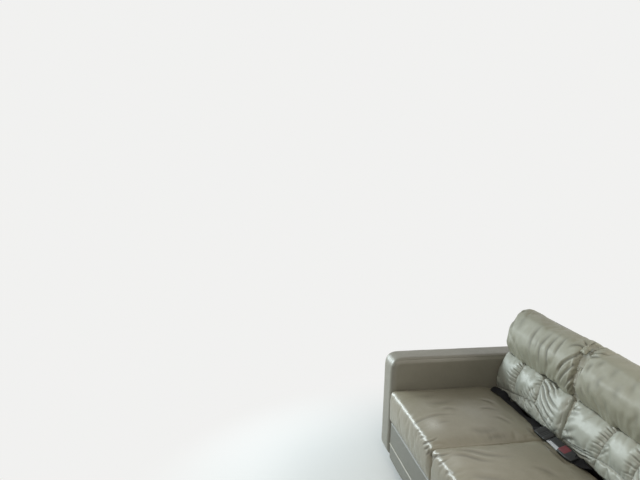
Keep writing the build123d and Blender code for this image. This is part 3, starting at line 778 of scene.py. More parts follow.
def buildSeatCushion(place):
    look = seatLook
    low, high = (corner.x for corner in placeBoxes[place])
    piece = softBlock(f"seatCushion_{place}", seatOutline(), low, high, look["cuts"], look["endRound"], "seat")
    points = readPoints(piece)
    across = readAttribute(piece, "across")
    onTop = points[:, 2] > seatTop - look["topDepth"]
    depth = (points[:, 1] - seatFront) / (seatCrevice - seatFront)
    lift = (1 - np.abs(2 * across - 1) ** 2.6) * (1 - np.abs(2 * np.clip(depth, 0, 1) - 0.92) ** 3)
    lift = look["crown"] * np.clip(lift, 0, 1) * ease((points[:, 2] - seatUnderside) / (seatTop - seatUnderside))
    drop = look["rearDrop"] * ease((depth - look["dropStart"]) / look["dropSpan"]) * onTop
    points[:, 2] += lift - drop
    writePoints(piece, points)
    return piece


# Lower back cushions: three gathered panels over a plain lower strip, the strip's seam arched

backFront, backRear = -0.055, 0.060
backLook = dict(endRound=0.008, cuts=(96, 8, 38), pressure=3.4, slack=0.045, cap=0.014, seamAlong=0.232, low=0.038,
                soft=0.0010, puff=0.0065, puffReach=0.042, puffTop=0.222, puffEdge=0.004)
seamStrokes = ((6.0, 1.9), (2.6, 1.6))  # a wide dip and a sharp line in it: width and depth in millimetres
gatherLook = dict(count=12, reach=13, width=4.0, depth=0.8, lean=0.3)
backGap = dict(outer=((0.058, -7), (0.085, -10), (0.165, -9), (0.231, 2)),
               inner=((0.058, 11), (0.085, 20), (0.110, 28), (0.165, 35), (0.231, 27)))
backSeams = {
    "left": (
        ((-645, 198), (-642, 174), (-649, 133), (-649, 94), (-646, 60), (-640, 34)),
        ((-490, 198), (-483, 186), (-476, 148), (-469, 114), (-468, 83), (-466, 64)),
        ((-811, 4), (-760, 12), (-700, 24), (-640, 36), (-560, 52), (-500, 62), (-466, 64), (-421, 46), (-376, 26),
         (-329, 7), (-290, 2)),
    ),
    "middle": (
        ((-8, 198), (-14, 163), (-19, 137), (-27, 98), (-40, 53), (-52, 10)),
        ((152, 198), (145, 150), (139, 110), (136, 80), (138, 48)),
        ((-262, 6), (-245, 8), (-199, 15), (-135, 26), (-75, 37), (-43, 46), (30, 57), (90, 56), (150, 44), (215, 22),
         (262, 4)),
    ),
}
backFolds = {
    "left": (
        (((-648, 186), (-660, 189), (-670, 194)), 3.4, 3.4, 0.04, 0.5),
        (((-648, 172), (-664, 175), (-676, 181)), 3.2, 4.4, 0.04, 0.5),
        (((-648, 158), (-672, 164), (-686, 169)), 3.6, 2.4, 0.04, 0.5),
        (((-648, 138), (-676, 142), (-700, 147)), 3.4, 3.6, 0.04, 0.5),
        (((-649, 124), (-684, 127), (-716, 131)), 4.0, 2.2, 0.04, 0.5),
        (((-650, 107), (-694, 111), (-728, 117)), 3.6, 3.4, 0.04, 0.5),
        (((-650, 88), (-684, 91), (-706, 93)), 4.4, 1.8, 0.04, 0.5),
        (((-650, 70), (-676, 71), (-694, 74)), 3.4, 1.8, 0.04, 0.5),
        (((-642, 160), (-620, 166), (-600, 176)), 6.0, 1.6, 0.05, 0.6),
        (((-620, 40), (-590, 24), (-566, 8)), 4.6, 3.0, 0.4, 0.1),
        (((-606, 66), (-579, 42), (-554, 14)), 4.4, 4.0, 0.35, 0.1),
        (((-592, 86), (-563, 60), (-532, 37), (-497, 18)), 4.6, 4.8, 0.35, 0.08),
        (((-576, 100), (-549, 76), (-510, 53), (-474, 42)), 4.6, 5.0, 0.35, 0.05),
        (((-556, 112), (-529, 89), (-500, 73), (-472, 64)), 4.4, 4.6, 0.35, 0.05),
        (((-536, 122), (-505, 99), (-484, 87), (-469, 80)), 4.2, 3.8, 0.35, 0.05),
        (((-512, 128), (-494, 112), (-473, 100)), 4.0, 2.6, 0.35, 0.05),
        (((-482, 172), (-500, 166), (-512, 156)), 4.2, 3.4, 0.04, 0.6),
        (((-479, 154), (-498, 146), (-508, 136)), 4.2, 2.8, 0.04, 0.6),
        (((-466, 90), (-440, 68), (-398, 46), (-340, 22)), 5.0, 2.6, 0.08, 0.5),
        (((-468, 68), (-421, 47), (-376, 26), (-332, 6), (-304, -4)), 4.6, 6.4, 0.05, 0.3),
        (((-470, 126), (-450, 108), (-428, 80), (-384, 54), (-326, 34), (-276, 24)), 6.4, 5.2, 0.06, 0.3),
        (((-474, 146), (-444, 130), (-404, 95), (-347, 66), (-284, 50)), 7.4, 5.0, 0.05, 0.35),
        (((-478, 164), (-434, 150), (-390, 120), (-337, 93), (-282, 80)), 7.0, 4.4, 0.05, 0.35),
        (((-482, 180), (-424, 168), (-385, 143), (-329, 121), (-278, 109)), 6.6, 4.2, 0.05, 0.35),
        (((-440, 192), (-392, 179), (-357, 160), (-317, 144)), 5.6, 3.6, 0.08, 0.5),
        (((-410, 200), (-384, 192), (-350, 180)), 5.6, 4.2, 0.05, 0.5),
        (((-700, 30), (-672, 16), (-650, 2)), 6, 1.2, 0.2, 0.2),
    ),
    "middle": (
        (((-254, 12), (-210, 22), (-150, 33), (-96, 45), (-50, 56)), 4.6, 5.6, 0.06, 0.25),
        (((-252, 2), (-185, 6), (-116, 15), (-57, 28)), 4.4, 5.0, 0.06, 0.2),
        (((-252, 16), (-225, 28), (-178, 52), (-130, 70)), 9, 3.6, 0.08, 0.5),
        (((-246, 30), (-222, 60), (-183, 88), (-145, 112)), 11, 2.6, 0.3, 0.5),
        (((-238, 92), (-206, 116), (-172, 130)), 10, 1.4, 0.3, 0.5),
        (((-240, 132), (-200, 147), (-171, 164)), 8, 2.6, 0.1, 0.5),
        (((-244, 158), (-212, 165), (-176, 182)), 8, 2.4, 0.1, 0.5),
        (((-12, 180), (-34, 186), (-48, 190)), 3.4, 3.6, 0.04, 0.5),
        (((-15, 166), (-40, 173), (-56, 175)), 3.2, 4.4, 0.04, 0.5),
        (((-18, 151), (-38, 157), (-52, 157)), 3.6, 2.6, 0.04, 0.5),
        (((-20, 137), (-44, 144), (-66, 144)), 3.4, 3.8, 0.04, 0.5),
        (((-22, 118), (-46, 123), (-72, 121)), 4.0, 2.6, 0.04, 0.5),
        (((-26, 101), (-52, 104), (-80, 99)), 3.6, 3.2, 0.04, 0.5),
        (((-31, 84), (-56, 85), (-84, 79)), 4.4, 1.8, 0.04, 0.5),
        (((-36, 68), (-60, 67), (-84, 62)), 3.6, 1.6, 0.04, 0.5),
        (((-18, 118), (-7, 134), (12, 150)), 6, 2.4, 0.05, 0.6),
        (((-25, 94), (-5, 119), (22, 136)), 7, 2.6, 0.05, 0.6),
        (((-31, 70), (-5, 98), (30, 122)), 7, 2.4, 0.05, 0.6),
        (((147, 172), (176, 164), (210, 140), (252, 118)), 6.6, 4.0, 0.05, 0.4),
        (((143, 148), (172, 132), (206, 100), (256, 76)), 6.8, 4.6, 0.05, 0.35),
        (((139, 122), (166, 100), (204, 66), (252, 42)), 6.6, 4.8, 0.05, 0.35),
        (((137, 94), (166, 68), (206, 36), (248, 16)), 6.0, 4.6, 0.08, 0.3),
        (((160, 194), (200, 182), (244, 168)), 6.0, 3.2, 0.05, 0.5),
        (((146, 168), (122, 172), (98, 180)), 4.2, 3.4, 0.04, 0.6),
        (((142, 142), (116, 148), (90, 150)), 4.2, 3.4, 0.04, 0.6),
        (((138, 114), (108, 118), (84, 116)), 4.4, 2.8, 0.04, 0.6),
        (((137, 86), (110, 84), (84, 78)), 4.4, 2.0, 0.04, 0.6),
        (((20, 50), (36, 30), (60, 6)), 7, 1.4, 0.2, 0.2),
        (((120, 44), (128, 26), (146, 5)), 7, 1.4, 0.2, 0.2),
    ),
}
backSeams["right"] = tuple(mirroredPath(path) for path in backSeams["left"])
backFolds["right"] = mirrored(backFolds["left"])


def backOutline():
    look = backLook
    return roundedOutline((
        (backFront + 0.010, look["low"], 0.014, True),
        (backFront - 0.003, 0.085, 0.030, False),
        (backFront - 0.007, 0.150, 0.050, False),
        (backFront + 0.010, look["seamAlong"] - 0.003, 0.014, True),
        (backRear - 0.002, look["seamAlong"] - 0.003, 0.005, True),
        (backRear - 0.002, halfGap + 0.001, 0.005, True),
        (0.002, halfGap + 0.001, 0.003, False),
    ))


def leanBack(piece):  # turns a pad drawn upright about the hinge to the back's own slope
    flat = readPoints(piece)
    writePoints(piece, backPoint(flat[:, 0], flat[:, 1], flat[:, 2]))


def gapEnds(place, gap):  # the outer places' inner ends and both ends of the middle place
    outer, inner = gap["outer"], gap["inner"]
    return {"left": (None, outer), "middle": (inner, inner), "right": (outer, None)}[place]


def buildBackPad(name, place, outline, look, gap, material):
    low, high = (corner.x for corner in placeBoxes[place])
    piece = softBlock(f"{name}_{place}", outline, low, high, look["cuts"], look["endRound"], material)
    taperEnds(piece, gapEnds(place, gap))
    leanBack(piece)
    return piece


# Bolsters: the full roll along the top, gathered where two of them meet

backTopAlong = 0.480
bolsterLook = dict(endRound=0.028, cuts=(84, 14, 30), pressure=2.5, slack=0.035, cap=0.012, low=0.234, bulge=0.088,
                   soft=0.0015)
bolsterGap = dict(outer=((0.234, -3), (0.300, -2), (0.350, 2), (0.390, 10), (0.440, 18), (0.480, 14)),
                  inner=((0.234, 14), (0.300, 17), (0.350, 20), (0.390, 25), (0.440, 22), (0.480, 14)))
bolsterFolds = {
    "left": (
        (((-568, 244), (-592, 192), (-594, 139), (-588, 85), (-570, 40)), 13, 2.8, 0.4, 0.5),
        (((-486, 240), (-509, 176), (-519, 122), (-514, 76), (-522, 20)), 12, 3.0, 0.4, 0.4),
        (((-438, 244), (-461, 184), (-466, 132), (-457, 82), (-462, 34)), 11, 3.4, 0.4, 0.4),
        (((-398, 246), (-412, 192), (-414, 140), (-408, 96)), 11, 3.2, 0.4, 0.5),
        (((-296, 188), (-330, 146), (-362, 98), (-380, 52)), 8, 5.6, 0.1, 0.3),
        (((-286, 146), (-318, 100), (-351, 53), (-374, 20)), 8, 4.2, 0.1, 0.3),
        (((-274, 104), (-296, 62), (-340, 14)), 8, 3.8, 0.15, 0.3),
        (((-272, 70), (-288, 36), (-306, 12)), 6, 2.8, 0.1, 0.3),
        (((-286, 226), (-322, 224), (-354, 206), (-372, 178)), 9, 3.4, 0.08, 0.5),
        (((-288, 238), (-312, 244), (-346, 264)), 6, 3.8, 0.05, 0.5),
        (((-286, 250), (-300, 270), (-312, 300)), 6, 4.0, 0.05, 0.5),
        (((-284, 222), (-300, 196), (-302, 166)), 6, 4.2, 0.05, 0.5),
        (((-556, 180), (-548, 130), (-552, 84)), 12, 1.6, 0.4, 0.5),
        (((-700, 250), (-722, 190), (-716, 120)), 30, 1.4, 0.5, 0.5),
        (((-806, 200), (-778, 160), (-774, 100)), 14, 2.4, 0.1, 0.5),
        (((-808, 216), (-786, 232), (-752, 250)), 10, 2.2, 0.1, 0.5),
    ),
    "middle": (
        (((-246, 206), (-213, 230), (-188, 248), (-160, 270)), 6, 5.0, 0.05, 0.4),
        (((-244, 190), (-205, 212), (-162, 226)), 7, 4.0, 0.05, 0.5),
        (((-250, 226), (-236, 254), (-226, 292)), 6, 3.8, 0.05, 0.5),
        (((-244, 176), (-230, 140), (-224, 96)), 8, 3.4, 0.05, 0.5),
        (((-186, 196), (-196, 164), (-190, 126)), 13, 2.2, 0.4, 0.5),
        (((-128, 226), (-156, 200), (-164, 168)), 14, 1.8, 0.5, 0.5),
        (((-150, 120), (-160, 88), (-150, 48)), 14, 1.6, 0.5, 0.5),
        (((-98, 176), (-118, 132), (-106, 84)), 19, 1.8, 0.5, 0.5),
        (((-46, 230), (-78, 196), (-66, 150)), 21, 1.3, 0.5, 0.5),
        (((-50, 96), (-62, 62), (-44, 26)), 18, 1.4, 0.5, 0.5),
        (((-206, 96), (-198, 60), (-176, 26)), 13, 1.8, 0.4, 0.5),
        (((-2, 184), (-22, 132), (-2, 80)), 23, 1.4, 0.5, 0.5),
        (((48, 226), (30, 188), (44, 142)), 20, 1.4, 0.5, 0.5),
        (((72, 132), (94, 92), (86, 40)), 20, 1.8, 0.5, 0.5),
        (((142, 250), (124, 196), (128, 140), (138, 84)), 12, 3.0, 0.3, 0.4),
        (((192, 246), (172, 202), (172, 150), (184, 96)), 10, 3.2, 0.3, 0.4),
        (((244, 214), (220, 182), (205, 146), (200, 104)), 8, 5.0, 0.1, 0.4),
        (((248, 168), (232, 138), (224, 96), (232, 50)), 7, 3.6, 0.1, 0.4),
        (((244, 234), (222, 246), (190, 268)), 6, 3.8, 0.05, 0.5),
        (((246, 96), (232, 64), (214, 30)), 8, 2.8, 0.1, 0.4),
    ),
}
bolsterFolds["right"] = mirrored(bolsterFolds["left"])


def bolsterOutline():
    look = bolsterLook
    return roundedOutline((
        (backFront + 0.006, look["low"], 0.014, True),
        (-look["bulge"] + 0.006, look["low"] + 0.042, 0.040, False),
        (-look["bulge"], look["low"] + 0.125, 0.060, False),
        (-0.058, backTopAlong - 0.028, 0.050, True),
        (-0.006, backTopAlong + 0.002, 0.050, False),
        (0.046, backTopAlong - 0.020, 0.030, True),
        (backRear - 0.002, backTopAlong - 0.060, 0.030, False),
        (backRear - 0.002, look["low"], 0.006, True),
    ))


def holdEnds(piece, endHold, panelHold, looseFaces):
    # 1 on the hidden sides, endHold at the box seams, panelHold over a loose face
    across, face = readAttribute(piece, "across"), readAttribute(piece, "face")
    loose = np.isin(face, looseFaces)
    hold = np.where(loose, panelHold, 1.0)
    hold = np.where(loose & (np.minimum(across, 1 - across) < 0.012), endHold, hold)
    return np.where(face == 4, endHold, hold)


def seamGap(sheet, path):
    line = smoothPath(path, 10) / 1000
    return np.sqrt(((sheet[:, None] - line[None]) ** 2).sum(-1)).min(axis=1)


def holdSeams(piece, place, hold, seams, weight):  # seams are sewn to the pad, so they hardly rise
    sheet, _ = coverSheet(piece, place)
    for path in seams:
        hold = np.maximum(hold, weight * (seamGap(sheet, path) < 0.005))
    return hold


def coverSheet(piece, place):
    low, high = (corner.x for corner in placeBoxes[place])
    across, around, face = (readAttribute(piece, key) for key in ("across", "around", "face"))
    nearEnd = np.minimum(across, 1 - across) * (high - low)
    mask = (face < 1.6) * ease(nearEnd / 0.004 + 0.15)
    return np.stack([readAttribute(piece, "sheetX"), around], axis=-1), mask


seatPads = {place: buildSeatCushion(place) for place in places}
backPads = {place: buildBackPad("backCushion", place, backOutline(), backLook, backGap, "back")
            for place in places}
bolsterPads = {place: buildBackPad("bolsterPad", place, bolsterOutline(), bolsterLook, bolsterGap, "bolster")
               for place in places}
print("cushion blanks ready")

jobs = []
for pad in seatPads.values():
    hold = holdEnds(pad, 0.9, 0.0, (0, 1))
    atNose = np.exp(-((readAttribute(pad, "around") - seatLook["noseAt"]) / seatLook["noseReach"]) ** 2)
    jobs.append((pad, seatLook, np.maximum(hold, seatLook["noseHold"] * atNose * (hold < 0.5))))
for place, pad in backPads.items():
    hold = holdEnds(pad, 0.9, 0.0, (0,))
    jobs.append((pad, backLook, holdSeams(pad, place, hold, backSeams[place], 0.9)))
jobs += [(pad, bolsterLook, holdEnds(pad, 0.7, 0.0, (0, 1))) for pad in bolsterPads.values()]
inflate(jobs)
print("cushions inflated")

for pad in (*seatPads.values(), *backPads.values(), *bolsterPads.values()):
    subdivide(pad)
print("cushions subdivided")


def pinch(piece, place, spots):  # (along, up, reach, in, sideways): pulls the cover in at a sewn corner
    sheet, _ = coverSheet(piece, place)
    points, normals = readPoints(piece), readNormals(piece)
    crease = readAttribute(piece, "crease")
    for x, up, reach, inward, sideways in spots:
        gap = np.hypot(sheet[:, 0] - x / 1000, sheet[:, 1] - up / 1000) / (reach / 1000)
        pull = np.exp(-(gap * 1.5) ** 2)
        points -= normals * (pull * inward / 1000)[:, None]
        points[:, 0] += pull * sideways / 1000
        # painted shade: the pinched corner is marked in crease, which paints it darker
        crease = np.maximum(crease, np.exp(-(gap * 5) ** 2))
    setAttribute(piece, "crease", crease)
    writePoints(piece, points)


foamWaves = ((0.16, 1.3), (0.055, 0.6), (0.022, 0.15))  # size in metres and share


def soften(piece, amount, seed, calm=None):  # the unevenness of old foam; calm: less of it at this edge
    points = readPoints(piece)
    swell = sum(smoothNoise(points, size, seed + k) * share for k, (size, share) in enumerate(foamWaves))
    if calm:
        swell *= 1 - 0.85 * np.exp(-((readAttribute(piece, "around") - calm[0]) / calm[1]) ** 2)
    writePoints(piece, points + readNormals(piece) * (swell * amount)[:, None])


def wobble(folds, seed):  # the same folds, each a little different
    rng = random.Random(seed)
    result = []
    for path, width, depth, fadeIn, fadeOut in folds:
        result.append(([(x + rng.uniform(-5, 5), y + rng.uniform(-4, 4)) for x, y in path],
                       width * rng.uniform(0.9, 1.15), depth * rng.uniform(0.75, 1.15), fadeIn, fadeOut))
    return result


def puffPanels(piece, place, seams, look):  # each panel swells between its seams and edges
    sheet, mask = coverSheet(piece, place)
    gap = np.full(len(sheet), 1.0)
    for path in seams:
        gap = np.minimum(gap, seamGap(sheet, path))
    low, high = sheet[mask > 0.3, 0].min(), sheet[mask > 0.3, 0].max()
    gap = np.minimum(gap, np.minimum(sheet[:, 0] - low, high - sheet[:, 0]) + look["puffEdge"])
    gap = np.minimum(gap, look["puffTop"] - sheet[:, 1])
    rise = look["puff"] * (1 - (1 - np.clip(gap / look["puffReach"], 0, 1)) ** 2)
    front = (readAttribute(piece, "face") < 0.5) & (sheet[:, 1] > -0.01)
    writePoints(piece, readPoints(piece) + readNormals(piece) * (rise * mask * front)[:, None])


def limitEnds(piece, ends, box, sharp=0.0022):  # flattens an end that has swelled past the gap's side
    points = readPoints(piece)
    up = backHeight(points)
    for table, edge, way in ((ends[0], box[0].x, 1), (ends[1], box[1].x, -1)):
        if table:
            heights, insets = zip(*table)
            limit = edge + way * np.interp(up, heights, insets) / 1000
            inside = way * (points[:, 0] - limit)
            points[:, 0] = limit + way * sharp * np.logaddexp(0, inside / sharp)
    writePoints(piece, points)


def sagEdge(piece, spots):  # the roll hangs a little lower between its sewn points: (along, reach, how much)
    points = readPoints(piece)
    around, sheetX = readAttribute(piece, "around"), readAttribute(piece, "sheetX")
    amount = sum(drop / 1000 * np.exp(-((sheetX * 1000 - x) / reach) ** 2) for x, reach, drop in spots)
    weight = np.where(around >= 0, np.clip(1 - around / 0.11, 0, 1) ** 1.5, np.clip(1 + around / 0.05, 0, 1))
    weight = np.where(readAttribute(piece, "face") > 3.5, 0, weight)
    points[:, 1] -= amount * weight * math.sin(recline)
    points[:, 2] -= amount * weight * math.cos(recline)
    writePoints(piece, points)


def foldCover(piece, place, folds, seams, seed):
    sheet, mask = coverSheet(piece, place)
    strokes = wobble(folds, 40) if place == "right" else list(folds)
    strokes += [(path, width, depth, 0.01, 0.01) for path in seams for width, depth in seamStrokes]
    if seams:
        strokes += gather(*archGather[place], seed=seed, **gatherLook)
    height, dark = strokeField(sheet, strokes)
    writePoints(piece, readPoints(piece) + readNormals(piece) * (height * mask)[:, None])
    # painted shade: the fold valleys go into crease, which darkens the colour there
    crease = np.maximum(readAttribute(piece, "crease"), dark * mask)
    setAttribute(piece, "crease", np.clip(crease, 0, 1))
    # worn: fold ridges a little paler as wear, plus the patches below, which are painted reflection
    wearAndSheen = np.clip(height * 1000 * 0.3, 0, 0.6) * mask
    wearAndSheen *= np.clip(0.5 + smoothNoise(readPoints(piece), 0.1, seed + 9), 0, 1)
    for x, up, reach, strength in sheenPatches.get(piece.name, ()):
        gap = np.hypot(sheet[:, 0] - x / 1000, (sheet[:, 1] - up / 1000) * 1.4) / (reach / 1000)
        wearAndSheen = np.maximum(wearAndSheen, strength * np.exp(-gap ** 2) * (mask > 0))
    setAttribute(piece, "worn", wearAndSheen)


archGather = {"left": ((-600, 50), (-470, 58)), "middle": ((-10, 54), (120, 54)), "right": ((600, 50), (470, 58))}
sheenPatches = {  # painted reflection: pale patches where a window's sheen lies on the seat, also smoother: (along, up, reach, strength)
    "seatCushion_left": ((-430, 214, 50, 1.0), (-600, 236, 60, 0.25), (-520, 430, 70, 0.2)),
    "seatCushion_middle": ((-150, 190, 50, 0.5), (60, 236, 70, 0.35)),
    "seatCushion_right": ((440, 220, 60, 0.5), (600, 260, 60, 0.2)),
}
pinches = {
    "seat": {"left": ((-276, 112, 30, 9, -4),), "middle": ((-269, 106, 28, 7, 3), (269, 106, 28, 7, -3)),
             "right": ((276, 112, 30, 8, 4),)},
    "back": {"left": ((-646, 200, 20, 9, 0), (-486, 200, 20, 11, 0), (-400, 204, 18, 9, 0), (-700, 206, 60, -4, 0),
                      (-562, 206, 50, -5, 0), (-330, 206, 50, -4, 0)),
             "middle": ((-10, 200, 20, 10, 0), (150, 200, 20, 10, 0), (-140, 206, 70, -5, 0), (70, 206, 50, -4, 0),
                        (214, 206, 44, -4, 0)),
             "right": ((646, 200, 20, 9, 0), (486, 200, 20, 11, 0), (396, 204, 18, 8, 0), (706, 206, 60, -4, 0),
                       (562, 206, 50, -4, 0), (330, 206, 50, -5, 0))},
    "bolster": {"left": ((-288, 236, 44, 11, 7), (-275, 10, 40, 6, -2), (-648, 2, 22, 5, 0), (-486, 2, 22, 6, 0),
                         (-400, 2, 18, 6, 0)),
                "middle": ((-250, 230, 42, 9, -6), (250, 230, 42, 9, 6), (-255, 10, 40, 5, 2), (-12, 2, 22, 6, 0),
                           (150, 2, 22, 5, 0)),
                "right": ((288, 234, 44, 11, -7), (275, 10, 40, 6, 2), (648, 2, 22, 5, 0), (486, 2, 22, 6, 0),
                          (404, 2, 18, 6, 0))},
}
edgeSags = {
    "left": ((-680, 70, 13), (-560, 60, 7), (-330, 50, 12)),
    "middle": ((-180, 70, 5), (-50, 50, 14), (80, 60, 7), (216, 40, 10)),
    "right": ((676, 70, 12), (556, 60, 8), (330, 50, 12)),
}
for index, place in enumerate(places):
    for kind, pads, look, folds, seams in (
        ("seat", seatPads, seatLook, seatFolds, ()),
        ("back", backPads, backLook, backFolds, backSeams),
        ("bolster", bolsterPads, bolsterLook, bolsterFolds, ()),
    ):
        pad = pads[place]
        seed = 100 * index + len(kind)
        if seams:
            puffPanels(pad, place, seams[place], look)
        if kind == "bolster":
            sagEdge(pad, edgeSags[place])
        pinch(pad, place, pinches[kind][place])
        soften(pad, look["soft"], seed, look.get("calm"))
        foldCover(pad, place, folds[place], seams[place] if seams else (), seed)
        if seams:
            limitEnds(pad, gapEnds(place, backGap), placeBoxes[place])
print("covers folded")


# Thread: stitches lie on the finished cover, beside its seams

stitchLook = dict(length=0.0046, pitch=0.0068, width=0.0011, height=0.0007, shoulder=0.28)
stitchArch = ((1, 0.0), (0.6, 1.0), (-0.6, 1.0), (-1, 0.0))  # across the thread and up


def stitchesAt(spots):  # spots: (place, direction along the row, outward); one low bead each
    look = stitchLook
    points, faces = [], []
    for spot, direction, outward in spots:
        direction, outward = unit(direction), unit(outward)
        sideways = np.cross(direction, outward)
        base = len(points)
        points.append(spot - direction * look["length"] / 2)
        for shift in (-look["shoulder"], look["shoulder"]):
            for reach, rise in stitchArch:
                points.append(spot + direction * look["length"] * shift + sideways * reach * look["width"] / 2
                              + outward * rise * look["height"])
        points.append(spot + direction * look["length"] / 2)
        for k in range(base, base + 3):
            faces += [(base, k + 2, k + 1), (k + 1, k + 2, k + 6, k + 5), (base + 9, k + 5, k + 6)]
    return points, faces


def sewRows(name, piece, place, rows, body):
    sheet, mask = coverSheet(piece, place)
    points, normals = readPoints(piece), readNormals(piece)
    chosen = np.where(mask > 0.3)[0]
    tree = KDTree(len(chosen))
    for index in chosen:
        tree.insert((*sheet[index], 0), int(index))
    tree.balance()

    def lift(spot):
        found = tree.find_n((*spot, 0), 4)
        weights = np.array([1 / (gap + 1e-5) ** 2 for _, _, gap in found])
        weights /= weights.sum()
        ids = [index for _, index, _ in found]
        return weights @ points[ids], weights @ normals[ids]

    spots = []
    for path in rows:
        line = smoothPath(path, 24) / 1000
        marks = np.arange(stitchLook["pitch"] / 2, walked(line)[-1], stitchLook["pitch"])
        for here, there in zip(spotsAt(line, marks), spotsAt(line, marks + 0.002)):
            spot, outward = lift(here)
            spots.append((spot, lift(there)[0] - spot + 1e-9, outward))
    stitchPoints, stitchFaces = stitchesAt(spots)
    thread = newPiece(name, stitchPoints, stitchFaces, "thread")
    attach(thread, body)


def beside(path, shift):
    path = np.array(path, float)
    step = directions(path)
    return path + np.stack([step[:, 1], -step[:, 0]], axis=-1) * shift


endRows = {
    "left": (((-283, 192), (-280, 120), (-278, 12)),),
    "middle": (((-243, 192), (-253, 120), (-264, 12)), ((243, 192), (253, 120), (264, 12))),
    "right": (((283, 192), (280, 120), (278, 12)),),
}
for place in places:
    rows = [beside(path, shift) for path in backSeams[place] for shift in (4.2, -4.2)]
    rows += [np.array(path, float) for path in endRows[place]]
    sewRows(f"backThread_{place}", backPads[place], place, rows, "back")
print("seams stitched")

# Tubes, ribbons and lofts

def closeRing(points, faces, ring, centre, flip):
    base = len(points)
    points.append(centre)
    for a, b in zip(ring, ring[1:] + ring[:1]):
        faces.append((b, a, base) if flip else (a, b, base))


def ringFaces(rows, count, base=0, closed=False):  # closed joins the last ring to the first
    faces = []
    for row in range(rows if closed else rows - 1):
        a, b = base + row * count, base + (row + 1) % rows * count
        faces += [(a + k, a + (k + 1) % count, b + (k + 1) % count, b + k) for k in range(count)]
    return faces


def loft(name, rings, material):  # rings: a list of N x 3 arrays with the same count; both ends are closed
    count = len(rings[0])
    points = [spot for ring in rings for spot in ring]
    faces = ringFaces(len(rings), count)
    last = (len(rings) - 1) * count
    closeRing(points, faces, list(range(count)), np.mean(rings[0], axis=0), True)
    closeRing(points, faces, [last + k for k in range(count)], np.mean(rings[-1], axis=0), False)
    return newPiece(name, points, faces, material)


def tube(name, path, radius, material, upward=(0.0, 0.0, 1.0), count=8):
    turns = (np.arange(count) * 2 * np.pi / count)[:, None]
    up, rings = np.array(upward), []
    for spot, t in zip(path, directions(path)):
        up = unit(up - t * (up @ t))
        rings.append(spot + radius * (np.cos(turns) * up + np.sin(turns) * np.cross(t, up)))
    return loft(name, rings, material)


def ribbon(name, path, acrossDirections, width, thickness, material, columns=12):
    # woven edges are a little thicker; the cover keeps a map of length and width for the weave
    lengths = walked(path)
    shares = np.linspace(-1, 1, columns + 1)
    thick = thickness / 2 * (1 + 0.35 * np.exp(-((np.abs(shares) - 0.93) / 0.06) ** 2))
    thick *= np.sqrt(np.clip(1.02 - np.abs(shares) ** 24, 0.05, 1))
    rings, weave = [], []
    for spot, t, a, length in zip(path, directions(path), acrossDirections, lengths):
        a = unit(a - t * (a @ t))
        n = np.cross(t, a)
        upper = [spot + a * s * width / 2 + n * h for s, h in zip(shares, thick)]
        lower = [spot + a * s * width / 2 - n * h for s, h in zip(shares[::-1], thick[::-1])]
        rings.append(np.array(upper + lower))
        weave += [(length, s * width / 2) for s in (*shares, *shares[::-1])]
    piece = loft(name, rings, material)
    weave += [(0, 0), (lengths[-1], 0)]
    layer = piece.data.uv_layers.new(name="weave")
    for corner, loopData in zip(layer.data, piece.data.loops):
        corner.uv = weave[loopData.vertex_index]
    return piece


def roundRing(x, y, z, halfWidth, halfHeight, power=5, count=32):
    turns = np.arange(count) * 2 * np.pi / count
    c, s = np.cos(turns), np.sin(turns)
    return np.stack([np.full(count, x), y + halfWidth * np.sign(c) * np.abs(c) ** (2 / power),
                     z + halfHeight * np.sign(s) * np.abs(s) ** (2 / power)], axis=-1)


def disc(spot, outward, radius, height, dish, points, faces, count=14):  # a low round head
    spot, outward = np.asarray(spot), np.array(outward, float)
    u = unit(np.cross(outward, (0, 0, 1.0)))
    v = np.cross(outward, u)
    base = len(points)
    rows = ((1.0, 0.0), (1.0, 0.6), (0.82, 1.0), (0.3, 1.0), (0.22, 1.0 - dish))
    for reach, rise in rows:
        for turn in np.arange(count) * 2 * np.pi / count:
            points.append(spot + radius * reach * (math.cos(turn) * u + math.sin(turn) * v)
                          + outward * height * rise)
    faces += ringFaces(len(rows), count, base)
    rim = [base + (len(rows) - 1) * count + k for k in range(count)]
    closeRing(points, faces, rim, spot + outward * height * (1 - dish), False)


def densify(path, step):
    lengths = walked(path)
    marks = np.linspace(0, lengths[-1], max(2, int(lengths[-1] / step)))
    return spotsAt(path, np.unique(np.concatenate([marks, lengths])), lengths)


# Between two pads: a soft strip of leather set back from their faces, and the knot that draws the bolsters together

gussetLook = dict(gussetLower=0.007, gussetUpper=0.010, columns=10, thickness=0.003, crumple=0.0026, bow=0.003,
                  step=0.0045, tuck=0.012, start=0.018, faceDepth=0.020, boardHeight=0.415)
# Waves in the strip: how fast each runs across it and along it, and its share of the crumple
gussetWaves = ((5.2, 14, 0.6), (2, 95, 0.5), (-3, 210, 0.25))


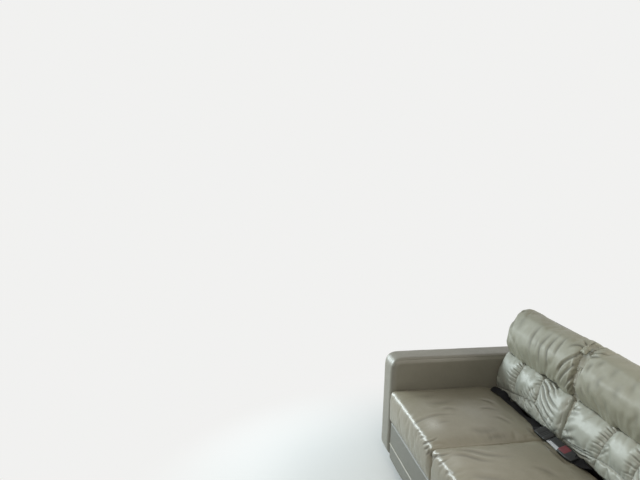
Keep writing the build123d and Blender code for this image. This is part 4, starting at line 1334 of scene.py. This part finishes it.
def buildGusset(name, outline, rows, depth, seed):
    look = gussetLook
    heights, middles, halves = (np.array(column, float) for column in zip(*rows))
    path = np.vstack([outline[0], outline[1][1:]])
    if name.startswith("gussetUpper"):  # from under the roll, over its top and down to the board behind it
        rear = outline[2][1:]
        path = np.vstack([path[:1] - (0, look["start"]), path, rear[rear[:, 1] > look["boardHeight"]]])
    else:
        path = path[path[:, 0] < look["faceDepth"]]
    path = densify(path, look["step"])
    tangent = directions(path)
    inward = np.stack([tangent[:, 1], -tangent[:, 0]], axis=-1)
    rng = random.Random(seed)
    phases = [rng.uniform(0, 6.28) for _ in range(4)]
    shares = np.linspace(-1, 1, look["columns"] + 1)
    rings = []
    for row, (spot, into) in enumerate(zip(path, inward)):
        middle = np.interp(spot[1], heights, middles) / 1000
        half = np.interp(spot[1], heights, halves) / 1000 + look["tuck"]
        climb = row * look["step"]
        crumple = sum(weight * np.sin(shares * across + climb * up + phase)
                      for (across, up, weight), phase in zip(gussetWaves, phases))
        deep = depth + look["bow"] * (1 - shares ** 2) + look["crumple"] * crumple
        front = [(middle + s * half, *(spot + into * d)) for s, d in zip(shares, deep)]
        rear = [(x, *(np.array((r, a)) + into * look["thickness"])) for x, r, a in front[::-1]]
        rings.append(np.array([backPoint(x, np.float64(r), np.float64(a)) for x, r, a in front + rear]))
    gusset = loft(name, rings, "gusset")
    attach(gusset, "back")


# Pleats: how many go round, how much they twist with depth, their size
knotLook = dict(outward=(-0.86, 0.50), upward=(0.50, 0.86), middle=(-0.0700, 0.4390), rows=22, columns=40,
                half=(0.019, 0.022, 0.011), pleats=((4, 0, 0.13), (7, 1, 0.07), (3, 0, 0.05)), ripple=0.0010)


def buildKnot(name, x, seed):  # puckered leather at the top of the gap
    look = knotLook
    rng = random.Random(seed)
    outward, upward, middle = (np.array(look[key]) for key in ("outward", "upward", "middle"))
    halfWidth, halfHeight, halfDepth = look["half"]
    phases = [rng.uniform(0, 6.28) for _ in range(5)]
    rings = []
    for row in range(1, look["rows"]):
        polar = math.pi * row / look["rows"]
        ring = []
        for turn in np.arange(look["columns"]) * 2 * np.pi / look["columns"]:
            pleat = sum(size * math.sin(count * turn + phase + twist * polar)
                        for (count, twist, size), phase in zip(look["pleats"], phases))
            reach = math.sin(polar) * (1 + pleat * math.sin(polar))
            ripple = look["ripple"] * math.sin(5 * turn + phases[4]) * math.sin(2 * polar)
            rise = halfDepth * math.cos(polar) + ripple
            spot = middle + outward * rise + upward * halfHeight * reach * math.sin(turn)
            ring.append(backPoint(x + halfWidth * reach * math.cos(turn), spot[0], spot[1]))
        rings.append(np.array(ring))
    knot = loft(name, rings, "bolster")
    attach(knot, "back")


# Each gap's rows: height along the back, middle of the gap, half its width, in millimetres
lowerGap = ((0.050, -263, 4), (0.085, -258, 6), (0.110, -253, 10), (0.165, -250, 13), (0.231, -260, 14))
upperGap = ((0.234, -267, 10), (0.300, -266, 11), (0.350, -263, 13), (0.390, -264, 19), (0.440, -270, 22),
            (0.480, -273, 16))
gapParts = (("gussetLower", backOutline(), lowerGap), ("gussetUpper", bolsterOutline(), upperGap))
for side, sign in sides.items():
    for name, outline, rows in gapParts:
        flipped = [(height, -sign * middle, half) for height, middle, half in rows]
        buildGusset(f"{name}_{side}", outline, flipped, gussetLook[name], 31 + len(name) + sign)
    buildKnot(f"knot_{side}", sign * 0.269, 7 + sign)

# A black cloth closes the slit between seat and back from below; it gives way as the back folds

flapLook = dict(low=(0.1985, 0.2920), high=(0.2620, 0.3775), sag=0.010, thickness=0.0012, half=0.786,
                cuts=(120, 13), waves=((0.0022, 31, 0), (0.0014, 77, 1)))


def buildFlap():
    look = flapLook
    low, high = np.array(look["low"]), np.array(look["high"])
    square = np.array((high[1] - low[1], low[0] - high[0])) / np.linalg.norm(high - low)
    shares = np.linspace(0, 1, look["cuts"][1])
    rings = []
    for x in np.linspace(-look["half"], look["half"], look["cuts"][0]):
        wave = sum(size * math.sin(x * pace + phase) for size, pace, phase in look["waves"])
        bow = np.sin(np.pi * shares) * (look["sag"] + wave)
        line = low + (high - low) * shares[:, None] + square * bow[:, None]
        upper = [(x, *spot) for spot in line]
        lower = [(x, *(spot + square * look["thickness"])) for spot in line[::-1]]
        rings.append(np.array(upper + lower))
    flap = loft("creviceCloth", rings, "black cloth")
    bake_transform(flap, "seat", "back", (0, *look["low"]), (0, *look["high"]))


buildFlap()
print("gaps closed")

# Arms

armLook = dict(nose=0.062, toe=0.058, heel=0.012, foot=0.006, endRound=0.024, cuts=(14, 56, 44), crown=0.0035,
               piping=0.0017, proud=0.0002, soft=0.0008)


def armOutline(side, inset=0.0):
    look = armLook
    low, high = arms[side]
    return roundedOutline((
        (low.y + inset, low.z + inset, look["toe"], True),
        (low.y + inset, high.z - inset, look["nose"], True),
        (high.y - inset, high.z - inset, look["heel"], True),
        (high.y - inset, low.z + inset, look["foot"], True),
    ))


def buildArm(side):
    look = armLook
    low, high = arms[side]
    piece = softBlock(f"armPad_{side}", armOutline(side), low.x, high.x, look["cuts"], look["endRound"], "arm")
    points = readPoints(piece)
    u = 2 * (points[:, 1] - low.y) / (high.y - low.y) - 1
    v = 2 * (points[:, 2] - low.z) / (high.z - low.z) - 1
    bulge = look["crown"] * np.clip(1 - np.abs(u) ** 3, 0, 1) * np.clip(1 - np.abs(v) ** 3, 0, 1)
    flat = readAttribute(piece, "face") > 3.5
    points[:, 0] += np.where(flat, np.sign(points[:, 0] - (low.x + high.x) / 2) * bulge, 0)
    writePoints(piece, points)
    subdivide(piece)
    soften(piece, look["soft"], 61 + len(side))
    return piece


def buildArmPiping(side):
    look = armLook
    low, high = arms[side]
    cut = look["endRound"] * (1 - math.sqrt(0.5)) + look["proud"]
    outline = armOutline(side, cut)
    line = np.vstack([outline[0], outline[1][1:], outline[2][1:-2]])[8:]  # up the front, over the top, down behind
    edges = (low.x + cut, high.x - cut) if side == "right" else (high.x - cut, low.x + cut)
    for name, x in zip(("inner", "outer"), edges):
        path = np.stack([np.full(len(line), x), line[:, 0], line[:, 1]], axis=-1)
        keep = np.concatenate([[True], np.linalg.norm(np.diff(path, axis=0), axis=1) > 0.002])
        path = densify(path[keep], 0.012)
        cord = tube(f"armPiping_{side}_{name}", path, look["piping"], "arm", upward=(1, 0, 0))
        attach(cord, "root")


armPads = {side: buildArm(side) for side in sides}
for side in sides:
    buildArmPiping(side)
print("arms ready")

# Base front: two padded covers with a pale welt between them

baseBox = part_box("base_front_panel")
baseLook = dict(welt=0.153, round=0.009, rearRound=0.002, endRound=0.004, cuts=(90, 3, 14), parting=0.0012,
                weltRadius=0.0030, weltDepth=0.0022, weltEnd=0.002, waver=0.0008, soft=0.0005)


def buildBasePanel(name, zLow, zHigh):
    look = baseLook
    outline = roundedOutline((
        (baseBox[0].y, zLow, look["round"], True),
        (baseBox[0].y, zHigh, look["round"], True),
        (baseBox[1].y, zHigh, look["rearRound"], True),
        (baseBox[1].y, zLow, look["rearRound"], True),
    ))
    piece = softBlock(name, outline, baseBox[0].x, baseBox[1].x, look["cuts"], look["endRound"], "base")
    soften(piece, look["soft"], len(name))
    return piece


def buildWelt():
    look = baseLook
    xs = np.linspace(baseBox[0].x + look["weltEnd"], baseBox[1].x - look["weltEnd"], 80)
    line = np.array([(x, baseBox[0].y + look["weltDepth"], look["welt"]) for x in xs])
    line[:, 2] += smoothNoise(line, 0.3, 5) * look["waver"]
    return tube("baseWelt", line, look["weltRadius"], "welt")


baseUpper = buildBasePanel("baseCover_upper", baseLook["welt"] + baseLook["parting"], baseBox[1].z)
baseLower = buildBasePanel("baseCover_lower", baseBox[0].z, baseLook["welt"] - baseLook["parting"])
baseWelt = buildWelt()
for piece in (baseUpper, baseLower, baseWelt):
    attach(piece, "root")
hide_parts("base_front_panel")
print("base ready")

# Lap belts. Each lies in the crevice: strap from the seat frame near the arm, grip, steel tongue, buckle, stalk.

beltLook = dict(width=0.048, thickness=0.0016, turn=0.030, tongueWidth=0.044, plate=0.0030,
                gripLength=0.084, anchorInset=0.052, stalk=0.062, tilt=18, forward=0.012, rise=0.003,
                y=0.122, z=0.4505, bendZ=0.4420, bendBow=0.004, bendTwist=0.35, step=0.0045, bite=0.006,
                stalkThickness=1.4, pressed=(-0.040, 0.020, -0.0135))
seatSurface = [BVHTree.FromObject(pad, bpy.context.evaluated_depsgraph_get()) for pad in seatPads.values()]


def seatHeight(x, y):
    best = rollBottom
    for tree in seatSurface:
        spot = tree.ray_cast(Vector((x, y, 1.0)), Vector((0, 0, -1)))[0]
        if spot is not None:
            best = max(best, spot.z)
    return best


pressLook = dict(margin=0.045, rise=0.024, soft=0.0012, deep=0.03)


def pressSeat(piece, xLow, xHigh, yLow, yHigh, floor):  # what lies on the leather sinks in
    look = pressLook
    points = readPoints(piece)
    gap = np.hypot(np.maximum(0, np.maximum(xLow - points[:, 0], points[:, 0] - xHigh)),
                   np.maximum(0, np.maximum(yLow - points[:, 1], points[:, 1] - yHigh)))
    limit = floor + look["rise"] * ease(gap / look["margin"])
    high = (gap < look["margin"]) & (points[:, 2] > seatTop - look["deep"])
    points[high, 2] -= look["soft"] * np.logaddexp(0, (points[high, 2] - limit[high]) / look["soft"])
    writePoints(piece, points)


# Behind the bend a strap goes down between seat and back, then to the clamp on the seat frame: y and z
creviceSpots = ((0.1957, 0.3850), (0.1962, 0.3100), (0.1866, 0.2940), (0.1860, 0.2790))
slackLook = dict(ends=0.22, back=0.033, sway=0.003, lean=17, leanSway=9, twist=16, hump=0.009, lift=0.0014)


def layStrap(side, x, y, lean):  # the strap's middle height when it lies on the seat, its rear edge lower by lean
    half = beltLook["width"] / 2
    heights = [seatHeight(side * x, y + share * half * math.cos(lean)) + share * half * math.sin(lean)
               for share in (-1.0, -0.5, 0.0, 0.5, 1.0)]
    return max(heights) + slackLook["lift"]


def slackSpot(side, x, share):  # the long strap: held at both ends, between them slack on the seat
    look, tilt = slackLook, math.radians(beltLook["tilt"])
    slack = ease(share / look["ends"]) * ease((1 - share) / look["ends"])
    lean = math.radians(look["lean"] + look["leanSway"] * math.sin(share * 15.0 + 0.6)) * slack
    lean -= tilt * ease(1 - share / 0.15)
    lean -= math.radians(look["twist"]) * ease((share - 0.80) / 0.08) * ease((1.0 - share) / 0.06)
    y = beltLook["y"] - beltLook["forward"] * (1 - ease((share - 0.78) / 0.22))
    y += (look["back"] + look["sway"] * math.sin(share * 23.0)) * slack
    lying = layStrap(side, x, y, lean) + look["hump"] * math.exp(-((share - 0.90) / 0.045) ** 2)
    leave = ease(share / 0.12)
    return y, (beltLook["z"] + beltLook["rise"]) * (1 - leave) + lying * leave, lean


def stalkSpot(share):  # the short one goes straight from the buckle to its bend
    y = beltLook["y"] - beltLook["forward"] * (1 - share)
    return y, beltLook["z"] + beltLook["rise"] - 0.006 * share, -math.radians(beltLook["tilt"]) * (1 - share)


def strapPath(side, start, turnX, direction):
    # start: where the strap leaves the grip or buckle; direction: 1 towards the arm, -1 towards the middle
    look = beltLook
    reach = look["turn"]
    corner = turnX - direction * reach
    span = abs(corner - start)
    path, across = [], []
    for share in np.linspace(0, 1, max(4, int(span / 0.008)) + 1):
        x = start + (corner - start) * share
        y, z, lean = slackSpot(side, x, share) if span > 0.2 else stalkSpot(share)
        path.append((side * x, y, z))
        across.append((0, math.cos(lean), -math.sin(lean)))
    topZ = path[-1][2]
    for share in np.arange(1, 9) / 8:  # the bend over the rear edge
        turn = math.pi / 2 * share
        x, y = corner + direction * reach * math.sin(turn), look["y"] + reach * (1 - math.cos(turn))
        z = topZ + (look["bendZ"] - topZ) * share + look["bendBow"] * math.sin(math.pi * share)
        path.append((side * x, y, z))
        across.append((-side * direction * math.sin(turn), math.cos(turn), look["bendTwist"] * math.sin(2 * turn)))
    path = np.array(path + [(side * turnX, y, z) for y, z in creviceSpots])
    across = np.array(across + [(-side * direction, 0, 0)] * len(creviceSpots))
    lengths = walked(path)
    marks = np.linspace(0, lengths[-1], int(lengths[-1] / look["step"]))
    path, across = spotsAt(path, marks), spotsAt(across, marks, lengths)
    for line in (path, across):  # rounds the corners of the strap's way
        for _ in range(5):
            line[1:-1] = (line[:-2] + 2 * line[1:-1] + line[2:]) / 4
    return path, across


# The plate's rings from its slot to its rim and back: share of the way outward, height in plate thicknesses
plateRings = ((0, -0.5), (0.02, -0.5), (0.97, -0.5), (1, -0.3), (1, 0.3), (0.97, 0.5), (0.02, 0.5), (0, 0.42))
plateLook = dict(count=72, halfSlot=(0.0034, 0.0140), trimStart=1.86, trim=0.55)


def platePiece(name, side, near, far, slot, y, z):
    # steel tongue: near and far are from the sofa's middle, the slot is where the webbing goes through
    look = plateLook
    count, halfWidth = look["count"], beltLook["tongueWidth"] / 2
    slotX, slotY = look["halfSlot"]
    outer, inner = [], []
    for turn in np.arange(count) * 2 * np.pi / count + np.pi / count:
        c, s = math.cos(turn), math.sin(turn)
        reach = min((far - slot) / c if c > 0 else (near - slot) / c, halfWidth / max(abs(s), 1e-6))
        outer.append((slot + reach * c, reach * s))
        inner.append((slot + slotX * np.sign(c) * abs(c) ** 0.4, slotY * np.sign(s) * abs(s) ** 0.7))
    outer, inner = np.array(outer), np.array(inner)
    centre = np.array(((near + far) / 2, 0))
    half = np.array(((far - near) / 2, halfWidth))
    local = (outer - centre) / half  # rounds the plate's corners
    trim = np.clip(np.abs(local).sum(axis=1) - look["trimStart"], 0, 1)[:, None]
    outer = centre + (local * (1 - trim * look["trim"])) * half
    points = []
    for share, rise in plateRings:
        shape = inner * (1 - share) + outer * share
        points += [(side * x, y + across, z + rise * beltLook["plate"]) for x, across in shape]
    return newPiece(name, points, ringFaces(len(plateRings), count, closed=True), "bright steel", smooth=False)


# Sections: share of the length from the tongue's side, half width and half height in millimetres
gripSections = (
    (0.00, 21.0, 4.4), (0.02, 24.0, 6.4), (0.05, 25.4, 7.4), (0.12, 26.4, 7.9), (0.22, 27.0, 7.8), (0.26, 27.2, 7.5),
    (0.28, 26.4, 6.4), (0.31, 26.4, 6.4), (0.33, 27.4, 7.5), (0.37, 27.4, 7.5), (0.39, 26.6, 6.4), (0.42, 26.6, 6.4),
    (0.44, 27.5, 7.5), (0.48, 27.5, 7.5), (0.50, 26.8, 6.4), (0.53, 26.8, 6.4), (0.55, 27.7, 7.6), (0.70, 27.9, 8.0),
    (0.90, 27.8, 7.7), (0.96, 27.0, 6.8), (1.00, 25.0, 4.4),
)
housingSections = (
    (0.00, 23.6, 7.4), (0.02, 25.2, 9.0), (0.06, 25.8, 9.7), (0.30, 26.0, 10.0), (0.62, 25.4, 9.6), (0.80, 23.4, 8.4),
    (0.92, 20.8, 6.8), (0.98, 19.0, 5.4), (1.00, 17.6, 4.0),
)
buttonSections = (
    (0.00, 16.6, 2.6), (0.03, 18.2, 4.4), (0.08, 19.0, 5.2), (0.20, 19.2, 5.3), (0.45, 19.2, 4.8), (0.75, 19.0, 5.1),
    (0.93, 18.2, 4.6), (1.00, 16.4, 2.6),
)
sleeveSections = (
    (0.00, 13.0, 2.2), (0.04, 15.4, 3.4), (0.12, 16.2, 4.2), (0.85, 16.2, 4.2), (0.96, 15.4, 3.2), (1.00, 13.0, 2.2),
)


def settle(piece, y, z):  # the belt's hard pieces lean back on the cushion and lie a little before the crevice
    look = beltLook
    points = readPoints(piece)
    tilt = math.radians(look["tilt"])
    c, s = math.cos(tilt), math.sin(tilt)
    dy, dz = points[:, 1] - y, points[:, 2] - z
    points[:, 1] = y + dy * c - dz * s - look["forward"]
    points[:, 2] = z + dy * s + dz * c + look["rise"]
    writePoints(piece, points)


# Belt pieces that are lofts: how far back and up from the buckle's middle, sections, finish, squareness
beltParts = {
    "Grip": (0, 0, gripSections, "black plastic", 4.5),
    "Housing": (0, 0, housingSections, "black plastic", 5),
    "Button": (0, 0.0058, buttonSections, "red plastic", 5),
    "Sleeve": (0.0085, 0, sleeveSections, "black plastic", 4.5),
}


def sectionedPiece(part, side, near, far, y, z):  # near and far are from the sofa's middle
    behind, up, sections, finish, power = beltParts[part]
    rings = [roundRing(sides[side] * (near + share * (far - near)), y + behind, z + up, halfWidth / 1000,
                       halfHeight / 1000, power) for share, halfWidth, halfHeight in sections]
    return loft(f"belt{part}_{side}", rings, finish)


def buildBelt(side, sign):
    look = beltLook
    gripBox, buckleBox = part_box(f"belt_tongue_{side}"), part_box(f"belt_buckle_{side}")
    y = (buckleBox[0].y + buckleBox[1].y) / 2
    z = (buckleBox[0].z + buckleBox[1].z) / 2
    near, far = sorted((abs(gripBox[0].x), abs(gripBox[1].x)))
    buckleNear, buckleFar = sorted((abs(buckleBox[0].x), abs(buckleBox[1].x)))
    gripNear = far - look["gripLength"]
    grip = sectionedPiece("Grip", side, gripNear, far, y, z)
    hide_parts(f"belt_tongue_{side}")
    housing = sectionedPiece("Housing", side, buckleFar, buckleNear, y, z)
    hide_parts(f"belt_buckle_{side}")
    button = sectionedPiece("Button", side, buckleFar + 0.0006, buckleFar - 0.045, y, z)
    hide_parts(f"belt_button_{side}")
    tongue = platePiece(f"beltTongue_{side}", sign, near + 0.004, gripNear + 0.012, gripNear - 0.0070, y, z)
    sleeve = sectionedPiece("Sleeve", side, buckleFar + 0.003, gripNear - 0.002, y, z)
    for piece in (grip, housing, button, tongue, sleeve):
        settle(piece, y, z)
    path, across = strapPath(sign, far - look["bite"], armInner - look["anchorInset"], 1)
    strap = ribbon(f"beltStrap_{side}", path, across, look["width"], look["thickness"], "webbing")
    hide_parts(f"belt_webbing_{side}")
    path, across = strapPath(sign, buckleNear + look["bite"], look["stalk"], -1)
    thickness = look["thickness"] * look["stalkThickness"]
    stalk = ribbon(f"beltStalk_{side}", path, across, look["width"], thickness, "webbing")
    for piece in (grip, housing, button, tongue, sleeve, strap, stalk):
        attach(piece, "seat")
    front, behind, down = look["pressed"]
    for pad in seatPads.values():
        pressSeat(pad, *sorted((sign * buckleNear, sign * far)), y + front, y + behind, z + down)


for side, sign in sides.items():
    buildBelt(side, sign)
print("belts ready")

# Back: the cover's margins, stapled to the board; fasteners on boards and hinge plates

marginLook = dict(width=0.034, thickness=0.0012, staple=0.0105, wire=0.00065, pitch=0.030, waviness=0.0045,
                  rear=0.0681, low=0.035, high=0.4272, step=0.012)


def buildMargins():
    look = marginLook
    rear, bottom, top = look["rear"], look["low"], look["high"]
    stiles = sorted((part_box(name)[0].x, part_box(name)[1].x) for name in frame["nodes"] if "back_frame_stile" in name)
    points, faces, wirePoints, wireFaces = [], [], [], []
    outward = backPoint(0, 1, 0) - backPoint(0, 0, 0)
    rng = random.Random(12)
    for (_, low), (high, _) in zip(stiles[:-1], stiles[1:]):
        corners = ((low, bottom), (high, bottom), (high, top), (low, top))
        for start, end in zip(np.array(corners), np.roll(corners, -1, axis=0)):
            span = np.linalg.norm(end - start)
            direction = (end - start) / span
            inward = np.array((-direction[1], direction[0]))
            count = int(span / look["step"])
            base = len(points)
            phase = rng.uniform(0, 6)
            for step in range(count + 1):
                share = step / count
                wave = look["waviness"] * (math.sin(share * span * 38 + phase) * 0.6 + rng.uniform(-0.3, 0.3))
                mitre = min(share, 1 - share) * span
                reach = min(look["width"] + wave, mitre + 0.002)
                edge = start + direction * share * span
                inner = edge + inward * reach
                lift = look["thickness"] * (1 + 0.5 * abs(math.sin(share * span * 60 + phase)))
                for spot, rise in ((edge, 0.0), (edge, lift), (inner, lift), (inner, 0.0)):
                    points.append(backPoint(spot[0], rear + rise, spot[1]))
            corner = [base + step * 4 + k for step in range(count) for k in range(3)]
            faces += [(a, a + 1, a + 5, a + 4) for a in corner]
            marks = np.arange(look["pitch"] * 0.6, span - look["pitch"] * 0.4, look["pitch"])
            for mark in marks:
                centre = start + direction * mark + inward * look["width"] * rng.uniform(0.45, 0.62)
                turn = rng.uniform(-0.25, 0.25)
                along = direction * math.cos(turn) + inward * math.sin(turn)
                ends = [centre - along * look["staple"] / 2, centre + along * look["staple"] / 2]
                height = rear + look["thickness"] * 1.55
                bar = [backPoint(e[0], height, e[1]) for e in ends]
                side = unit(np.cross(bar[1] - bar[0], outward))
                wireBase = len(wirePoints)
                for spot in bar:
                    for s, h in ((-1, -1), (1, -1), (1, 1), (-1, 1)):
                        wirePoints.append(spot + side * s * look["wire"] + outward * h * look["wire"])
                wireFaces += ringFaces(2, 4, wireBase)
                wireFaces += [tuple(wireBase + k for k in cap) for cap in ((3, 2, 1, 0), (4, 5, 6, 7))]
    margins = newPiece("backMargins", points, faces, "back", smooth=False)
    staples = newPiece("backStaples", wirePoints, wireFaces, "zinc steel", smooth=False)
    for piece in (margins, staples):
        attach(piece, "back")


buildMargins()


# Round heads: radius, height, how deep the middle is dished
screwHead = (0.0046, 0.0009, 0.8)
boltHead = (0.0065, 0.0030, 0.5)
fastenerPlaces = dict(screwX=(-0.790, -0.2725, 0.2725, 0.790), screwZ=(0.100, 0.172, 0.245),
                      seatY=(0.118, 0.150, 0.180), seatZ=0.2875, backUp=(0.052, 0.094), backDepth=0.0805)


def buildHeads(name, spots, outward, head):
    points, faces = [], []
    for spot in spots:
        disc(spot, outward, *head, points, faces)
    return newPiece(name, points, faces, "zinc steel")


def buildFasteners():
    at = fastenerPlaces
    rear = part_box("base_rear_board")[1].y
    spots = [(x, rear, z) for x in at["screwX"] for z in at["screwZ"]]
    screws = buildHeads("baseScrews", spots, (0, 1, 0), screwHead)
    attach(screws, "root")
    for side, sign in sides.items():
        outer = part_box(f"hinge_plate_seat_{side}")
        spots = [(outer[sign > 0].x, y, at["seatZ"]) for y in at["seatY"]]
        bolts = buildHeads(f"seatPlateBolts_{side}", spots, (sign, 0, 0), boltHead)
        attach(bolts, "seat")
        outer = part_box(f"hinge_plate_back_{side}")
        spots = [backPoint(outer[sign > 0].x, at["backDepth"], up) for up in at["backUp"]]
        bolts = buildHeads(f"backPlateBolts_{side}", spots, (sign, 0, 0), boltHead)
        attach(bolts, "back")


buildFasteners()
print("fasteners ready")

for place in places:
    for pad, node, body, slot, fill in (
        (seatPads[place], f"seat_cushion_{place}", "seat", "seat_leather", 0.8),
        (backPads[place], f"back_cushion_{place}", "back", "back_leather", 0.7),
        (bolsterPads[place], f"bolster_{place}", "back", "back_leather", 0.75),
    ):
        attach(pad, body)
        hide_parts(node)
for side in sides:
    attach(armPads[side], "root")
    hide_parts(f"arm_{side}")

# CAD pieces that stay get their finish

finishes = (
    (("floor_rail", "seat_frame", "back_frame"), "black steel"),
    (("slide_track", "seat_runner", "hinge", "belt_anchors"), "zinc steel"),
    (("toe_kick",), "black board"),
    (("base_end", "base_rib", "base_rear", "seat_deck", "back_panel"), "plywood"),
)
for node, item in frame["nodes"].items():
    for starts, finish in finishes:
        if node.startswith(starts):
            item.data.materials.clear()
            item.data.materials.append(materials[finish])

triangles = sum(sum(len(p.vertices) - 2 for p in item.data.polygons) for item in bpy.context.scene.objects
                if item.type == "MESH")
print("triangles", triangles)

# Floor, light and camera

floorLook = dict(size=40.0, colour=(0.78, 0.78, 0.77), clear=(1.10, 1.95), shown=(0.88, 0.88, 0.87))


def buildFloor():
    look = floorLook
    half = look["size"] / 2
    mesh = bpy.data.meshes.new("floor")
    mesh.from_pydata([(-half, -half, 0), (half, -half, 0), (half, half, 0), (-half, half, 0)], [], [(0, 1, 2, 3)])
    floor = linked("floor", mesh)
    material, tree, shader = newMaterial("pale floor")
    shader.inputs["Base Color"].default_value = (*look["colour"], 1)
    shader.inputs["Roughness"].default_value = 0.85
    shader.inputs["Specular IOR Level"].default_value = 0.2
    place = addNode(tree, "ShaderNodeTexCoord").outputs["Object"]
    reach = addNode(tree, "ShaderNodeVectorMath", {"operation": "LENGTH"}, i0=place).outputs["Value"]
    far = addNode(tree, "ShaderNodeMapRange", {"interpolation_type": "SMOOTHSTEP"}, i0=reach, i1=look["clear"][0],
                  i2=look["clear"][1], i3=0.0, i4=1.0).outputs[0]
    glow = addNode(tree, "ShaderNodeEmission", None, Color=(*look["shown"], 1), Strength=1.0)
    mix = addNode(tree, "ShaderNodeMixShader", None, i0=times(tree, far, raysThatSee(tree)),
                  i1=shader.outputs[0], i2=glow.outputs[0])
    output = next(node for node in tree.nodes if node.type == "OUTPUT_MATERIAL")
    tree.links.new(mix.outputs[0], output.inputs["Surface"])
    mesh.materials.append(material)


lamps = (
    dict(name="sideLight", place=(-2.35, -1.85, 1.20), target=(0, -0.1, 0.45), size=(1.5, 1.1), power=68,
         colour=(0.86, 0.97, 1.0)),
    dict(name="backLight", place=(0.6, 1.7, 2.0), target=(0, 0.15, 0.6), size=(2.6, 0.8), power=30,
         colour=(1.0, 0.97, 0.90)),
    dict(name="topLight", place=(0.7, -0.8, 1.8), target=(0.25, -0.1, 0.4), size=(1.1, 1.1), power=15,
         colour=(1.0, 0.95, 0.86)),
)


def buildLamps():
    for lamp in lamps:
        data = bpy.data.lights.new(lamp["name"], "AREA")
        data.shape = "RECTANGLE"
        data.size, data.size_y = lamp["size"]
        data.energy = lamp["power"]
        data.color = lamp["colour"]
        item = linked(lamp["name"], data)
        item.location = lamp["place"]
        aim = Vector(lamp["target"]) - Vector(lamp["place"])
        item.rotation_euler = aim.to_track_quat("-Z", "Y").to_euler()


def buildWorld():
    world = bpy.data.worlds.new("studio")
    bpy.context.scene.world = world
    world.use_nodes = True
    tree = world.node_tree
    tree.nodes.clear()
    ambient = addNode(tree, "ShaderNodeBackground", None, Color=(0.95, 0.97, 1.0, 1), Strength=0.20)
    shown = addNode(tree, "ShaderNodeBackground", None, Color=(*floorLook["shown"], 1), Strength=1.0)
    mix = addNode(tree, "ShaderNodeMixShader", None, i0=raysThatSee(tree), i1=ambient.outputs[0],
                  i2=shown.outputs[0])
    output = addNode(tree, "ShaderNodeOutputWorld")
    tree.links.new(mix.outputs[0], output.inputs["Surface"])


cameraLook = dict(place=(1.680, -1.259, 1.628), yaw=10.82, pitch=9.53, roll=1.53, focal=555.8, imageWidth=640)


def buildCamera():
    look = cameraLook
    yaw, pitch, roll = (math.radians(look[k]) for k in ("yaw", "pitch", "roll"))
    forward = Vector((-math.cos(yaw) * math.cos(pitch), math.sin(yaw) * math.cos(pitch), -math.sin(pitch)))
    right = forward.cross(Vector((0, 0, 1))).normalized()
    up = right.cross(forward)
    right, up = (math.cos(roll) * right + math.sin(roll) * up, -math.sin(roll) * right + math.cos(roll) * up)
    data = bpy.data.cameras.new("camera")
    data.sensor_width = 36
    data.lens = look["focal"] / look["imageWidth"] * data.sensor_width
    camera = linked("camera", data)
    basis = Matrix((right, up, -forward)).transposed()
    camera.matrix_world = Matrix.Translation(look["place"]) @ basis.to_4x4()
    bpy.context.scene.camera = camera


buildFloor()
buildLamps()
buildWorld()
buildCamera()
bpy.context.scene.view_settings.view_transform = "Standard"
print("stage ready")
